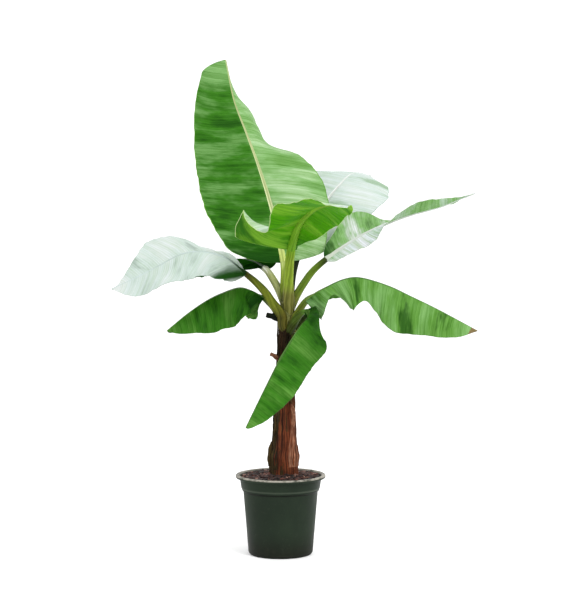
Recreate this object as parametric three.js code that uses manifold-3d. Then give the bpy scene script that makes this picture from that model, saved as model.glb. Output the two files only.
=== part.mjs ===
// A young banana plant in a plain nursery pot.
// Millimetres, z up. The pot stands on z = 0 and is round about the z axis.
// The plant is seen from the front, the side of -y.
import * as THREE from 'three';
import Module from 'manifold-3d';
import { mergeVertices } from 'three/addons/utils/BufferGeometryUtils.js';

const wasm = await Module();
wasm.setup();

// Clear distance between pieces that touch on the real plant
const GAP = 0.3;

// Pot: thin wall, a flat lip at the top, and below it a collar that ends in a step
const POT_HEIGHT = 213;
const RIM_RADIUS = 120;
const RIM_WIDTH = 11;
const RIM_BOTTOM = 204;
const COLLAR_RADIUS = 105;
const COLLAR_BOTTOM = 177;
const NECK_RADIUS = 99.5;
const NECK_HEIGHT = 169;
const FOOT_RADIUS = 86;
const FOOT_BEVEL = 5;
const EDGE = 2;
const WALL = 3.2;
const FLOOR = 4;
const POT_SIDES = 36;

// Growing mix of bark chips, level with the rim and slightly heaped round the stem
const MIX_EDGE_HEIGHT = 206;
const MIX_SLOPE_WIDTH = 4.5;
const MIX_TOP = 209;
const MIX_FLAT_RADIUS = 48;

// Stem of dried leaf sheaths: height above the pot's foot, centre x and y, radius
const STEM_SIDES = 14;
const STEM_STATIONS = [
  { z: MIX_TOP + GAP, x: 9, y: 0, r: 42 },
  { z: 216, x: 9, y: 0, r: 38.5 },
  { z: 240, x: 9, y: 0, r: 36.5 },
  { z: 262, x: 9, y: 0, r: 38 },
  { z: 284, x: 10, y: 0, r: 33 },
  { z: 330, x: 11, y: 0, r: 31 },
  { z: 400, x: 11, y: 0, r: 27 },
  { z: 480, x: 10, y: 0, r: 23 },
  { z: 550, x: 11, y: 0, r: 21 },
  { z: 610, x: 14, y: 0, r: 23 },
  { z: 645, x: 17, y: 0, r: 23 },
  { z: 685, x: 18, y: 0, r: 15 },
];
const SHEATH_RIDGES = 5;
const SHEATH_RELIEF = 0.05;
const SHEATH_TWIST = 90;

// Flare of a leaf's sheath where it starts inside the stem
const SHEATH_FLARE = 1.25;

// Leaf stalks: corners of the section, depth and narrowness of the channel on top
const STALK_SIDES = 10;
const STALK_STEPS = 5;
const STALK_CHANNEL = 0.35;
const CHANNEL_NARROWNESS = 6;

// Leaf blades: thickness, steps along the midrib, columns across each half and the
// bends within a column. Steps crowd towards both ends of the blade by END_CROWDING.
const BLADE_THICKNESS = 6;
const BLADE_STEPS = 18;
const END_CROWDING = 0.08;
const HALF_COLUMNS = 4;
const COLUMN_BENDS = 3;
const LEAN_START = 0.07;

// Midrib: half width at the tip, depth, dip of its upper side, width and depth of the keel
const RIB_TIP_HALF = 1.5;
const RIB_DEPTH = 1.2;
const RIB_DIP = 0.2;
const KEEL_WIDTH = 0.5;
const KEEL_FLANK = 0.7;

// Every limb runs from the stem through its leaf stalk and midrib to the leaf tip.
// limb: points of that line. sheath and blade: shares of its length where the stalk
// leaves the stem and where the blade starts. stalk: radius there, and at the blade.
// face: the way the upper side looks, in even steps along the limb.
// left and right, as seen on the upper side: half widths, and the angles at which the
// half blade leaves the midrib and ends at its margin (plus hangs, minus rises), each
// in even steps from the foot of the blade to its tip. lean: how far the half blade
// sweeps on towards the tip, or back when it is minus. late: how far out the half blade
// stays straight before it bends, 1 for an even bend. round: shares of the blade over
// which its outline rounds off at the foot and at the tip. waves: how many ripples run
// along the margin, swell: how high they stand.
const LEAVES = {
  tall: {
    limb: [[14, 8, 662], [9, 18, 704], [8, 42, 769], [-21, 82, 907], [-62, 115, 1039],
      [-93, 135, 1122], [-126, 150, 1209], [-150, 162, 1321]],
    sheath: 0.08, blade: 0.17, stalk: [10, 8.5],
    face: [[0, -1, 0.1], [0, -1, 0.3], [0.1, -1, 0.3]],
    left: {
      width: [116, 150, 172, 167, 145, 105, 64], root: [0, 0], edge: [5, 5, 10], lean: [0, 0],
      round: [0.14, 0.045],
    },
    right: {
      width: [106, 122, 146, 156, 154, 142, 130, 112, 108, 100, 85, 60, 25],
      root: [0, 0, 0, 0, 0, 5, 12, 25, 28, 32, 55, 75, 80],
      edge: [0, 0, 5, 8, 12, 30, 55, 95, 98, 100, 110, 115, 110],
      lean: [-16, -8, 0, 4, 4, 4, 4, 6, 6, 6, 0, 0, 0], round: [0.05, 0.12],
    },
    waves: 3, swell: 5,
  },
  young: {
    limb: [[22, -12, 673], [21, -24, 732], [28, -48, 812], [49, -100, 879], [78, -180, 914],
      [108, -280, 931], [140, -370, 935], [166, -450, 933]],
    sheath: 0.09, blade: 0.24, stalk: [13, 11.5],
    face: [[0, 1, 0.2], [0, 0.8, 0.8], [0, 0.1, 1], [0, 0.1, 1]],
    left: {
      width: [12, 58, 70, 72, 58, 40, 22], root: [30, 30], edge: [40, 40], lean: [0, 0],
      round: [0.06, 0.1],
    },
    right: {
      width: [140, 166, 174, 138, 116, 108, 108, 104, 90, 80, 65, 50, 25],
      root: [25, 25, 30, 40, 32, 12, 0, 0, 0, 0, 0, 0, 0],
      edge: [-20, -40, -65, -10, 20, 5, 0, -10, -12, -12, -14, -14, -14],
      lean: [-12, -12, -12, -5, 0, 0, 0], round: [0.06, 0.1],
    },
    waves: 3, swell: 6,
  },
  left: {
    limb: [[9, -6, 613], [3, -12, 641], [-19, -20, 670], [-38, -28, 699], [-62, -34, 725],
      [-90, -37, 749], [-118, -39, 773], [-144, -41, 791], [-201, -44, 807], [-258, -50, 801],
      [-323, -60, 768], [-372, -68, 743], [-439, -80, 712]],
    sheath: 0.13, blade: 0.31, stalk: [13.5, 8],
    face: [[1, 0, 0.5], [0.3, -0.3, 1], [0, -0.5, 1], [0, -0.5, 1]],
    left: {
      width: [80, 100, 116, 128, 108, 93, 86, 68, 38], root: [7, 6, 6, 16, 6, 3, 3, 3, 3],
      edge: [7, 6, 4, -80, 0, 3, 3, 3, 3], lean: [-10, 0, 0], late: 8, round: [0.1, 0.1],
    },
    right: {
      width: [50, 70, 85, 90, 124, 122, 68, 32, 12], root: [10, 12, 0, -12, 0],
      edge: [15, 20, 12, -15, 0], lean: [0, 0], round: [0.06, 0.1],
    },
    waves: 3, swell: 6,
  },
  lowLeft: {
    limb: [[6, 0, 620], [-20, 6, 662], [-49, 4, 686], [-78, 0, 702], [-107, -6, 710],
      [-157, -16, 695], [-191, -22, 679], [-241, -30, 646], [-299, -40, 599]],
    sheath: 0.17, blade: 0.22, stalk: [10, 7],
    face: [[1, 0, 0.5], [0.1, -0.2, 1], [0, -0.2, 1]],
    left: {
      width: [60, 80, 80, 84, 100, 92, 86, 64, 40, 14], root: [40, 40], edge: [80, 80, 60],
      lean: [-60, -22, 0, 0], round: [0.03, 0.06],
    },
    right: {
      width: [85, 85, 88, 90, 80, 50, 20], root: [65, 40, 40], edge: [85, 60, 60],
      lean: [-55, -15, 0, 0], round: [0.03, 0.1],
    },
    waves: 4, swell: 8,
  },
  lowRight: {
    limb: [[30, -8, 620], [49, -20, 653], [64, -30, 675], [85, -38, 694], [119, -46, 713],
      [164, -54, 734], [200, -62, 740], [278, -78, 720], [340, -90, 692], [409, -104, 659], [509, -124, 606]],
    sheath: 0.08, blade: 0.13, stalk: [11, 9],
    face: [[-1, 0, 0.5], [-0.2, -0.2, 1], [0, -0.2, 1], [0.1, -0.2, 1]],
    left: {
      width: [60, 78, 104, 115, 100, 70, 30], root: [30, 30], edge: [60, 60, 50], lean: [0, 0],
      round: [0.06, 0.1],
    },
    right: {
      width: [80, 74, 32, 86, 92, 60, 80, 98, 106, 96, 80, 66, 44, 12], root: [40, 40],
      edge: [80, 80, 70], lean: [-25, 0, 0, 0, 0], round: [0.02, 0.06],
    },
    waves: 4, swell: 6,
  },
  right: {
    limb: [[25, 2, 657], [40, 6, 688], [62, 10, 723], [85, 12, 754], [125, 16, 789], [168, 20, 819],
      [219, 22, 851], [291, 24, 885], [346, 24, 904], [397, 22, 917], [431, 20, 927], [470, 16, 943],
      [515, 12, 961]],
    sheath: 0.09, blade: 0.27, stalk: [11, 8],
    face: [[-1, 0, 0.5], [-0.4, -0.3, 0.8], [0, -0.5, 1], [0, -0.5, 1], [0, -0.2, 1], [0, 0.15, 1],
      [0, 0.15, 1], [0, 0.15, 1]],
    left: {
      width: [30, 62, 92, 84, 16, 14, 12, 10, 9, 8], root: [-5, -10, 0], edge: [-20, -20, 0],
      lean: [15, 0, 0], round: [0.06, 0.1],
    },
    right: {
      width: [30, 42, 54, 68, 36, 54, 58, 36, 14, 6], root: [0, 0, -10, -20, -20],
      edge: [0, 0, -20, -30, -30], lean: [0, 0], round: [0.06, 0.1],
    },
    waves: 3, swell: 3,
  },
  backRight: {
    limb: [[25, 8, 662], [30, 22, 714], [38, 48, 761], [69, 109, 847], [129, 166, 944],
      [162, 215, 982], [191, 275, 1009], [220, 335, 1016], [258, 392, 1004]],
    sheath: 0.1, blade: 0.3, stalk: [8, 7],
    face: [[-0.2, -1, 0.4], [-0.1, -0.8, 0.6], [0, -0.4, 0.9], [0.1, -0.1, 1]],
    left: {
      width: [60, 100, 120, 125, 110, 80, 30], root: [0, 0], edge: [10, 10, 20], lean: [0, 0],
      round: [0.06, 0.1],
    },
    right: {
      width: [60, 100, 125, 140, 130, 100, 50], root: [0, 0, 10], edge: [10, 20, 30],
      lean: [0, 0, -10], round: [0.06, 0.15],
    },
    waves: 3, swell: 6,
  },
  front: {
    limb: [[28, -16, 605], [43, -34, 633], [59, -58, 650], [72, -78, 652], [72, -90, 639],
      [54, -98, 617], [25, -102, 572], [-1, -104, 528], [-32, -104, 468], [-61, -103, 410], [-90, -102, 350]],
    sheath: 0.1, blade: 0.19, stalk: [10, 7],
    face: [[-0.5, 1, 0.5], [-0.6, 0.2, 0.8], [-0.8, -0.6, 0], [-0.8, -0.6, 0], [-0.8, -0.6, 0]],
    left: {
      width: [26, 92, 87, 81, 74, 52, 20], root: [0, 50, 50, 50, 50, 50, 50],
      edge: [0, 60, 60, 60, 60, 60, 60], lean: [0, 0], round: [0.12, 0.1],
    },
    right: {
      width: [30, 58, 64, 61, 52, 38, 16], root: [50, 50], edge: [60, 60], lean: [0, 0],
      round: [0.12, 0.1],
    },
    waves: 2, swell: 5,
  },
  backLeft: {
    limb: [[22, 8, 640], [9, 18, 674], [-4, 30, 703], [-19, 42, 729], [-36, 58, 753], [-61, 90, 771],
      [-95, 140, 779], [-135, 200, 778], [-181, 265, 773], [-229, 330, 747]],
    sheath: 0.16, blade: 0.31, stalk: [11, 9],
    face: [[0.8, -0.5, 0.5], [0.1, -0.1, 1], [0, 0, 1]],
    left: {
      width: [46, 64, 76, 80, 70, 50, 20], root: [20, 10, 0, 0], edge: [40, 25, 10, 10],
      lean: [0, 0], round: [0.06, 0.1],
    },
    right: {
      width: [46, 72, 84, 80, 70, 50, 20], root: [0, 0], edge: [8, 5], lean: [0, 0],
      round: [0.16, 0.1],
    },
    waves: 3, swell: 5,
  },
};

// Dried sheath ends that stand off the stem: line, and radius at the foot and the end
const SHEATH_ENDS = {
  leftStub: { line: [[2, -6, 515], [-14, -12, 529], [-27, -14, 536]], radius: [9, 4.5] },
  leftCurl: { line: [[4, -6, 626], [-14, -10, 634], [-28, -12, 637], [-38, -12, 640]], radius: [13, 6] },
  rightCurl: { line: [[26, -4, 584], [42, -6, 606], [54, -6, 620], [65, -6, 636]], radius: [9, 7] },
  frontPeel: { line: [[22, -17, 408], [34, -22, 378], [32, -22, 342]], radius: [7, 6] },
  leftPeel: { line: [[-20, -6, 300], [-28, -8, 268], [-26, -6, 236]], radius: [7, 8] },
  rightPeel: { line: [[36, 2, 300], [44, 4, 264], [42, 4, 236]], radius: [6, 7] },
  backPeel: { line: [[4, 20, 430], [-2, 27, 396], [-4, 30, 350]], radius: [7, 6] },
};

const FRONT = [0, -1, 0.2];
const WELD = 1e-4;

const radians = THREE.MathUtils.degToRad;
const vector = (list) => new THREE.Vector3(...list);
const clamp01 = (value) => Math.min(1, Math.max(0, value));

// Smooth value at the share t of a list of even steps
function listAt(list, t) {
  const last = list.length - 1;
  const place = clamp01(t) * last;
  const i = Math.min(last - 1, Math.floor(place));
  const f = place - i;
  const [a, b, c, d] = [i - 1, i, i + 1, i + 2].map((k) => list[Math.min(last, Math.max(0, k))]);
  const slopeB = (c - a) / 2;
  const slopeC = (d - b) / 2;
  const [f2, f3] = [f * f, f * f * f];
  return (2 * f3 - 3 * f2 + 1) * b + (f3 - 2 * f2 + f) * slopeB
    + (3 * f2 - 2 * f3) * c + (f3 - f2) * slopeC;
}

// Rounding of an outline that closes like a quarter ellipse at both ends
function roundedEnds(t, [footShare, tipShare]) {
  const foot = t < footShare ? Math.sqrt(1 - (1 - t / footShare) ** 2) : 1;
  const tip = 1 - t < tipShare ? Math.sqrt(1 - (1 - (1 - t) / tipShare) ** 2) : 1;
  return foot * tip;
}

// Centre line of a limb with its upper side at any share of the length
function limbFrames(leaf) {
  const curve = new THREE.CatmullRomCurve3(leaf.limb.map(vector), false, 'centripetal');
  curve.arcLengthDivisions = 400;
  return (share) => {
    const at = curve.getPointAt(share);
    const along = curve.getTangentAt(share);
    const up = vector([0, 1, 2].map((axis) => listAt(leaf.face.map((f) => f[axis]), share)));
    up.addScaledVector(along, -up.dot(along)).normalize();
    const left = up.clone().cross(along).normalize();
    return { at, along, up, left, length: curve.getLength() };
  };
}

function geometryFrom(points, faces) {
  const geometry = new THREE.BufferGeometry();
  const numbers = points.flatMap((p) => [p.x, p.y, p.z]);
  geometry.setAttribute('position', new THREE.Float32BufferAttribute(numbers, 3));
  geometry.setIndex(faces.flat());
  return geometry;
}

// Faces round rings of equal count
function ringFaces(rings, count) {
  const faces = [];
  for (let i = 0; i + 1 < rings; i += 1) {
    for (let k = 0; k < count; k += 1) {
      const a = i * count + k;
      const b = i * count + ((k + 1) % count);
      faces.push([a, b, a + count], [b, b + count, a + count]);
    }
  }
  return faces;
}

// Skin over closed rings of equal count, shut at both ends by a fan
function skinRings(rings) {
  const count = rings[0].length;
  const points = rings.flat();
  const faces = ringFaces(rings.length, count);
  const centre = (ring) => ring.reduce((sum, p) => sum.add(p), new THREE.Vector3()).divideScalar(count);
  const foot = points.push(centre(rings[0])) - 1;
  const top = points.push(centre(rings.at(-1))) - 1;
  const lastRing = (rings.length - 1) * count;
  for (let k = 0; k < count; k += 1) {
    const next = (k + 1) % count;
    faces.push([foot, next, k], [top, lastRing + k, lastRing + next]);
  }
  return geometryFrom(points, faces);
}

// Leaf stalk between two shares of the limb, with the channel on its upper side
function stalkRings(frameAt, [from, to], [radiusFrom, radiusTo], steps) {
  const rings = [];
  for (let i = 0; i <= steps; i += 1) {
    const share = from + ((to - from) * i) / steps;
    const { at, up, left } = frameAt(share);
    const radius = radiusFrom + ((radiusTo - radiusFrom) * i) / steps;
    const ring = [];
    for (let k = 0; k < STALK_SIDES; k += 1) {
      const turn = (2 * Math.PI * k) / STALK_SIDES;
      const channel = 1 - STALK_CHANNEL * Math.max(0, Math.cos(turn)) ** CHANNEL_NARROWNESS;
      ring.push(at.clone()
        .addScaledVector(up, radius * channel * Math.cos(turn))
        .addScaledVector(left, -radius * Math.sin(turn)));
    }
    rings.push(ring);
  }
  return rings;
}

// Points of one half blade from beside the midrib to the margin, upper and under side
function halfBlade(frame, half, sign, t, ribHalf, leaf) {
  const width = Math.max(ribHalf + EDGE, listAt(half.width, t) * roundedEnds(t, half.round));
  const root = radians(listAt(half.root, t));
  const edge = radians(listAt(half.edge, t));
  const lean = radians(listAt(half.lean, t)) * Math.min(1, t / LEAN_START);
  const across = frame.left.clone().multiplyScalar(sign);
  const side = across.clone().multiplyScalar(Math.cos(lean)).addScaledVector(frame.along, Math.sin(lean));
  const place = frame.at.clone().addScaledVector(across, ribHalf);
  const bends = HALF_COLUMNS * COLUMN_BENDS;
  const step = (width - ribHalf) / bends;
  const columns = [];
  for (let bend = 1; bend <= bends; bend += 1) {
    const angle = root + (edge - root) * ((bend - 0.5) / bends) ** (half.late ?? 1);
    place.addScaledVector(side, step * Math.cos(angle)).addScaledVector(frame.up, -step * Math.sin(angle));
    if (bend % COLUMN_BENDS) continue;
    const outward = frame.up.clone().multiplyScalar(Math.cos(angle)).addScaledVector(side, Math.sin(angle));
    const ripple = leaf.swell * (bend / bends) ** 2 * Math.sin(2 * Math.PI * leaf.waves * t + sign);
    const middle = place.clone().addScaledVector(outward, ripple);
    columns.push({
      upper: middle.clone().addScaledVector(outward, BLADE_THICKNESS / 2),
      under: middle.clone().addScaledVector(outward, -BLADE_THICKNESS / 2),
    });
  }
  return columns;
}

// Points of the midrib: a dip along its upper side and a keel below
function ribPoints(frame, ribHalf) {
  return [1, 0, -1].map((place) => {
    const dip = place ? 0 : RIB_DIP * ribHalf;
    const keel = RIB_DEPTH * ribHalf * (place ? KEEL_FLANK : 1);
    return {
      upper: frame.at.clone().addScaledVector(frame.left, place * ribHalf)
        .addScaledVector(frame.up, BLADE_THICKNESS / 2 - dip),
      under: frame.at.clone().addScaledVector(frame.left, place * ribHalf * KEEL_WIDTH)
        .addScaledVector(frame.up, -BLADE_THICKNESS / 2 - keel),
    };
  });
}

// Rows of points across a blade, each running over its upper side and back below
function bladeRows(leaf) {
  const frameAt = limbFrames(leaf);
  const start = leaf.blade + GAP / frameAt(0).length;
  const rows = [];
  for (let i = 0; i <= BLADE_STEPS; i += 1) {
    const even = i / BLADE_STEPS;
    const t = even - END_CROWDING * Math.sin(2 * Math.PI * even);
    const frame = frameAt(start + (1 - start) * t);
    const ribHalf = leaf.stalk[1] * (1 - t) + RIB_TIP_HALF * t;
    const row = [
      ...halfBlade(frame, leaf.left, 1, t, ribHalf, leaf).reverse(),
      ...ribPoints(frame, ribHalf),
      ...halfBlade(frame, leaf.right, -1, t, ribHalf, leaf),
    ];
    rows.push([...row.map((p) => p.upper), ...row.map((p) => p.under).reverse()]);
  }
  return rows;
}

// One leaf blade with its midrib as a closed solid, shut at both ends by strips
function bladeGeometry(leaf) {
  const rows = bladeRows(leaf);
  const count = rows[0].length;
  const faces = ringFaces(rows.length, count);
  const tip = (rows.length - 1) * count;
  for (let k = 0; k + 1 < count / 2; k += 1) {
    const opposite = count - 1 - k;
    faces.push([k + 1, k, opposite], [k + 1, opposite, opposite - 1]);
    faces.push([tip + k, tip + k + 1, tip + opposite], [tip + k + 1, tip + opposite - 1, tip + opposite]);
  }
  return geometryFrom(rows.flat(), faces);
}

// Solid algebra
function toSolid(geometry) {
  const plain = mergeVertices(geometry, WELD);
  return new wasm.Manifold(new wasm.Mesh({
    numProp: 3,
    vertProperties: new Float32Array(plain.attributes.position.array),
    triVerts: new Uint32Array(plain.index.array),
  }));
}

function fromSolid(solid) {
  const mesh = solid.getMesh();
  const geometry = new THREE.BufferGeometry();
  geometry.setAttribute('position', new THREE.BufferAttribute(new Float32Array(mesh.vertProperties), 3));
  geometry.setIndex(new THREE.BufferAttribute(new Uint32Array(mesh.triVerts), 1));
  return geometry;
}

// Trunk of the stem: rings over its stations, with the ridges of the sheath edges
function trunkRings() {
  return STEM_STATIONS.map(({ z, x, y, r }) => {
    const ring = [];
    for (let k = 0; k < STEM_SIDES; k += 1) {
      const turn = (2 * Math.PI * k) / STEM_SIDES;
      const radius = r * (1 + SHEATH_RELIEF * Math.cos(SHEATH_RIDGES * turn + z / SHEATH_TWIST));
      ring.push(new THREE.Vector3(x + radius * Math.cos(turn), y + radius * Math.sin(turn), z));
    }
    return ring;
  });
}

// Stem with the sheaths of the leaf stalks parting from its top
function stemGeometry() {
  let stem = toSolid(skinRings(trunkRings()));
  for (const leaf of Object.values(LEAVES)) {
    const radii = [leaf.stalk[0] * SHEATH_FLARE, leaf.stalk[0]];
    stem = stem.add(toSolid(skinRings(stalkRings(limbFrames(leaf), [0, leaf.sheath], radii, 3))));
  }
  for (const { line, radius } of Object.values(SHEATH_ENDS)) {
    const frames = limbFrames({ limb: line, face: [FRONT, FRONT] });
    stem = stem.add(toSolid(skinRings(stalkRings(frames, [0, 1], radius, 4))));
  }
  return fromSolid(stem);
}

function stalkGeometry(leaf) {
  const frameAt = limbFrames(leaf);
  const from = leaf.sheath + GAP / frameAt(0).length;
  return skinRings(stalkRings(frameAt, [from, leaf.blade], leaf.stalk, STALK_STEPS));
}

// Body turned about the z axis from pairs of radius and height
function turned(profile) {
  const points = profile.map(([radius, height]) => new THREE.Vector2(radius, height));
  return new THREE.LatheGeometry(points, POT_SIDES).rotateX(Math.PI / 2);
}

// Inside of the pot from its floor to below the rim, drawn in by an inset
const innerWall = (inset) => [
  [FOOT_RADIUS - 2 * WALL - inset, FLOOR + inset],
  [NECK_RADIUS - WALL - inset, NECK_HEIGHT],
  [COLLAR_RADIUS - WALL - inset, COLLAR_BOTTOM],
  [RIM_RADIUS - RIM_WIDTH - WALL - inset, RIM_BOTTOM],
];

function potGeometry() {
  return turned([
    [0, 0], [FOOT_RADIUS - FOOT_BEVEL, 0], [FOOT_RADIUS, FOOT_BEVEL], [NECK_RADIUS, NECK_HEIGHT],
    [COLLAR_RADIUS - EDGE, NECK_HEIGHT + EDGE], [COLLAR_RADIUS - EDGE, COLLAR_BOTTOM - EDGE],
    [COLLAR_RADIUS, COLLAR_BOTTOM], [RIM_RADIUS - RIM_WIDTH, RIM_BOTTOM], [RIM_RADIUS - EDGE, RIM_BOTTOM],
    [RIM_RADIUS, RIM_BOTTOM + EDGE], [RIM_RADIUS, POT_HEIGHT - EDGE], [RIM_RADIUS - EDGE, POT_HEIGHT],
    [RIM_RADIUS - RIM_WIDTH + EDGE, POT_HEIGHT], [RIM_RADIUS - RIM_WIDTH, POT_HEIGHT - EDGE],
    ...innerWall(0).reverse(), [0, FLOOR],
  ]);
}

function mixGeometry() {
  const wall = innerWall(GAP);
  const brim = wall.at(-1)[0];
  return turned([
    [0, FLOOR + GAP], ...wall, [brim - MIX_SLOPE_WIDTH, MIX_EDGE_HEIGHT],
    [MIX_FLAT_RADIUS, MIX_TOP], [0, MIX_TOP],
  ]);
}

const FINISH = {
  pot: { color: 0x2f3b31, roughness: 0.45 },
  mix: { color: 0x4a2a17, roughness: 0.95 },
  stem: { color: 0x5a3419, roughness: 0.85 },
  stalk: { color: 0x7d9a35, roughness: 0.5 },
  leaf: { color: 0x4c9a34, roughness: 0.45 },
};

const plant = new THREE.Group();
plant.name = 'banana_plant';

function place(name, geometry, finish) {
  const clean = geometry.clone();
  clean.deleteAttribute('normal');
  clean.deleteAttribute('uv');
  const merged = mergeVertices(clean, WELD);
  merged.computeVertexNormals();
  const mesh = new THREE.Mesh(merged, new THREE.MeshStandardMaterial({ ...FINISH[finish], metalness: 0 }));
  mesh.name = name;
  plant.add(mesh);
}

place('pot', potGeometry(), 'pot');
place('growing_mix', mixGeometry(), 'mix');
place('stem', stemGeometry(), 'stem');
for (const [name, leaf] of Object.entries(LEAVES)) {
  const plain = name.replace(/[A-Z]/g, (letter) => `_${letter.toLowerCase()}`);
  place(`stalk_${plain}`, stalkGeometry(leaf), 'stalk');
  place(`leaf_${plain}`, bladeGeometry(leaf), 'leaf');
}

export default plant;
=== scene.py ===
# %% [markdown]
# # A young banana plant in a nursery pot
#
# This lesson dresses a finished solid model. The solids give every leaf, stalk, stem and
# pot its place and size. Each piece made here lies where its solid lies, but is far finer:
# thin leaves with veins, a stem wrapped in dry sheaths, loose bark chips and a moulded pot.
# Lengths in the tables are millimetres, as in the solid model, and meshes are built in
# metres, with z up and the front of the plant on the side of minus y.

# %% Load the solids as a fixed frame
import math

import bpy
import numpy as np
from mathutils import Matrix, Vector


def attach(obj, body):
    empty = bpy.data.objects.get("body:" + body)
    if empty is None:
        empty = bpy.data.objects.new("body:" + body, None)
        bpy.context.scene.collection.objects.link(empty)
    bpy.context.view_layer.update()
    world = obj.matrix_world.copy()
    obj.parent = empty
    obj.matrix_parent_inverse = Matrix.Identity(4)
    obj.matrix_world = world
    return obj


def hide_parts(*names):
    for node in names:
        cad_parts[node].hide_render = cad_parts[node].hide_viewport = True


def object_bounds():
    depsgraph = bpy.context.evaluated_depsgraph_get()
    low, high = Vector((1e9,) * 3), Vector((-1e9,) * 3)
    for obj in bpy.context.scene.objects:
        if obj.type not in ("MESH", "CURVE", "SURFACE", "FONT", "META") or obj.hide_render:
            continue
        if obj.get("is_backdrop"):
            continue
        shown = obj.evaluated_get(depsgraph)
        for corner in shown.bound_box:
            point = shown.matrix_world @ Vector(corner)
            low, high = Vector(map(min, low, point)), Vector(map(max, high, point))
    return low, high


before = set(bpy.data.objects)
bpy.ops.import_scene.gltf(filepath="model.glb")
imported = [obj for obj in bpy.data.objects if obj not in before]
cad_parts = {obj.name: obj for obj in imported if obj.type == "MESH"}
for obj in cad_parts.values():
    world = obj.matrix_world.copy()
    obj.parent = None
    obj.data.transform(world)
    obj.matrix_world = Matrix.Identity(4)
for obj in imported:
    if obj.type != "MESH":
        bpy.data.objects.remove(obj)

cad_box = [list(map(float, corner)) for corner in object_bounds()]
print("solids reach from", cad_box[0], "to", cad_box[1])

# %% [markdown]
# ## Camera
#
# The picture was taken from about five metres away, a little above the lower leaves and
# looking slightly down. A long lens from that far keeps the pot's rim a flat ellipse.
# The rim and the foot of the pot fix both the height and the tilt of the camera.

# %% Camera in front of the plant
LENS = 113.8
SENSOR_WIDTH = 36.0
FARTHEST = 60.0
CAMERA_PLACE = (0.021, -5.0, 0.997)
LOOKING_DOWN = 3.62

camera_data = bpy.data.cameras.new("front_camera")
camera_data.lens = LENS
camera_data.sensor_width = SENSOR_WIDTH
camera_data.clip_end = FARTHEST
camera = bpy.data.objects.new("front_camera", camera_data)
camera.location = CAMERA_PLACE
camera.rotation_euler = (math.radians(90.0 - LOOKING_DOWN), 0.0, 0.0)
bpy.context.scene.collection.objects.link(camera)
bpy.context.scene.camera = camera
print("camera lens", camera_data.lens, "mm at", tuple(camera.location))

# %% [markdown]
# ## The limbs
#
# A banana leaf is one long limb: it starts as a sheath inside the stem, leaves it as a
# channelled stalk and runs on as the midrib of the blade. The table gives the points of
# each limb, where stalk and blade start as shares of its length, which way the upper side
# faces, and for both half blades the widths, the angles at the midrib and at the margin,
# and how far they lean along the leaf. It repeats the rule of the solids, so that a finer
# leaf still fills the same outline.

# %% Table of the nine leaves
# Root, edge and lean are degrees, and ends are the rounded shares at the foot and the tip.
# A late half keeps its root angle until it comes near the margin
def half(width, root=(0, 0), edge=(0, 0), lean=(0, 0), ends=(0.06, 0.1), late=1):
    return {"width": width, "root": root, "edge": edge, "lean": lean, "ends": ends, "late": late}


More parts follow.
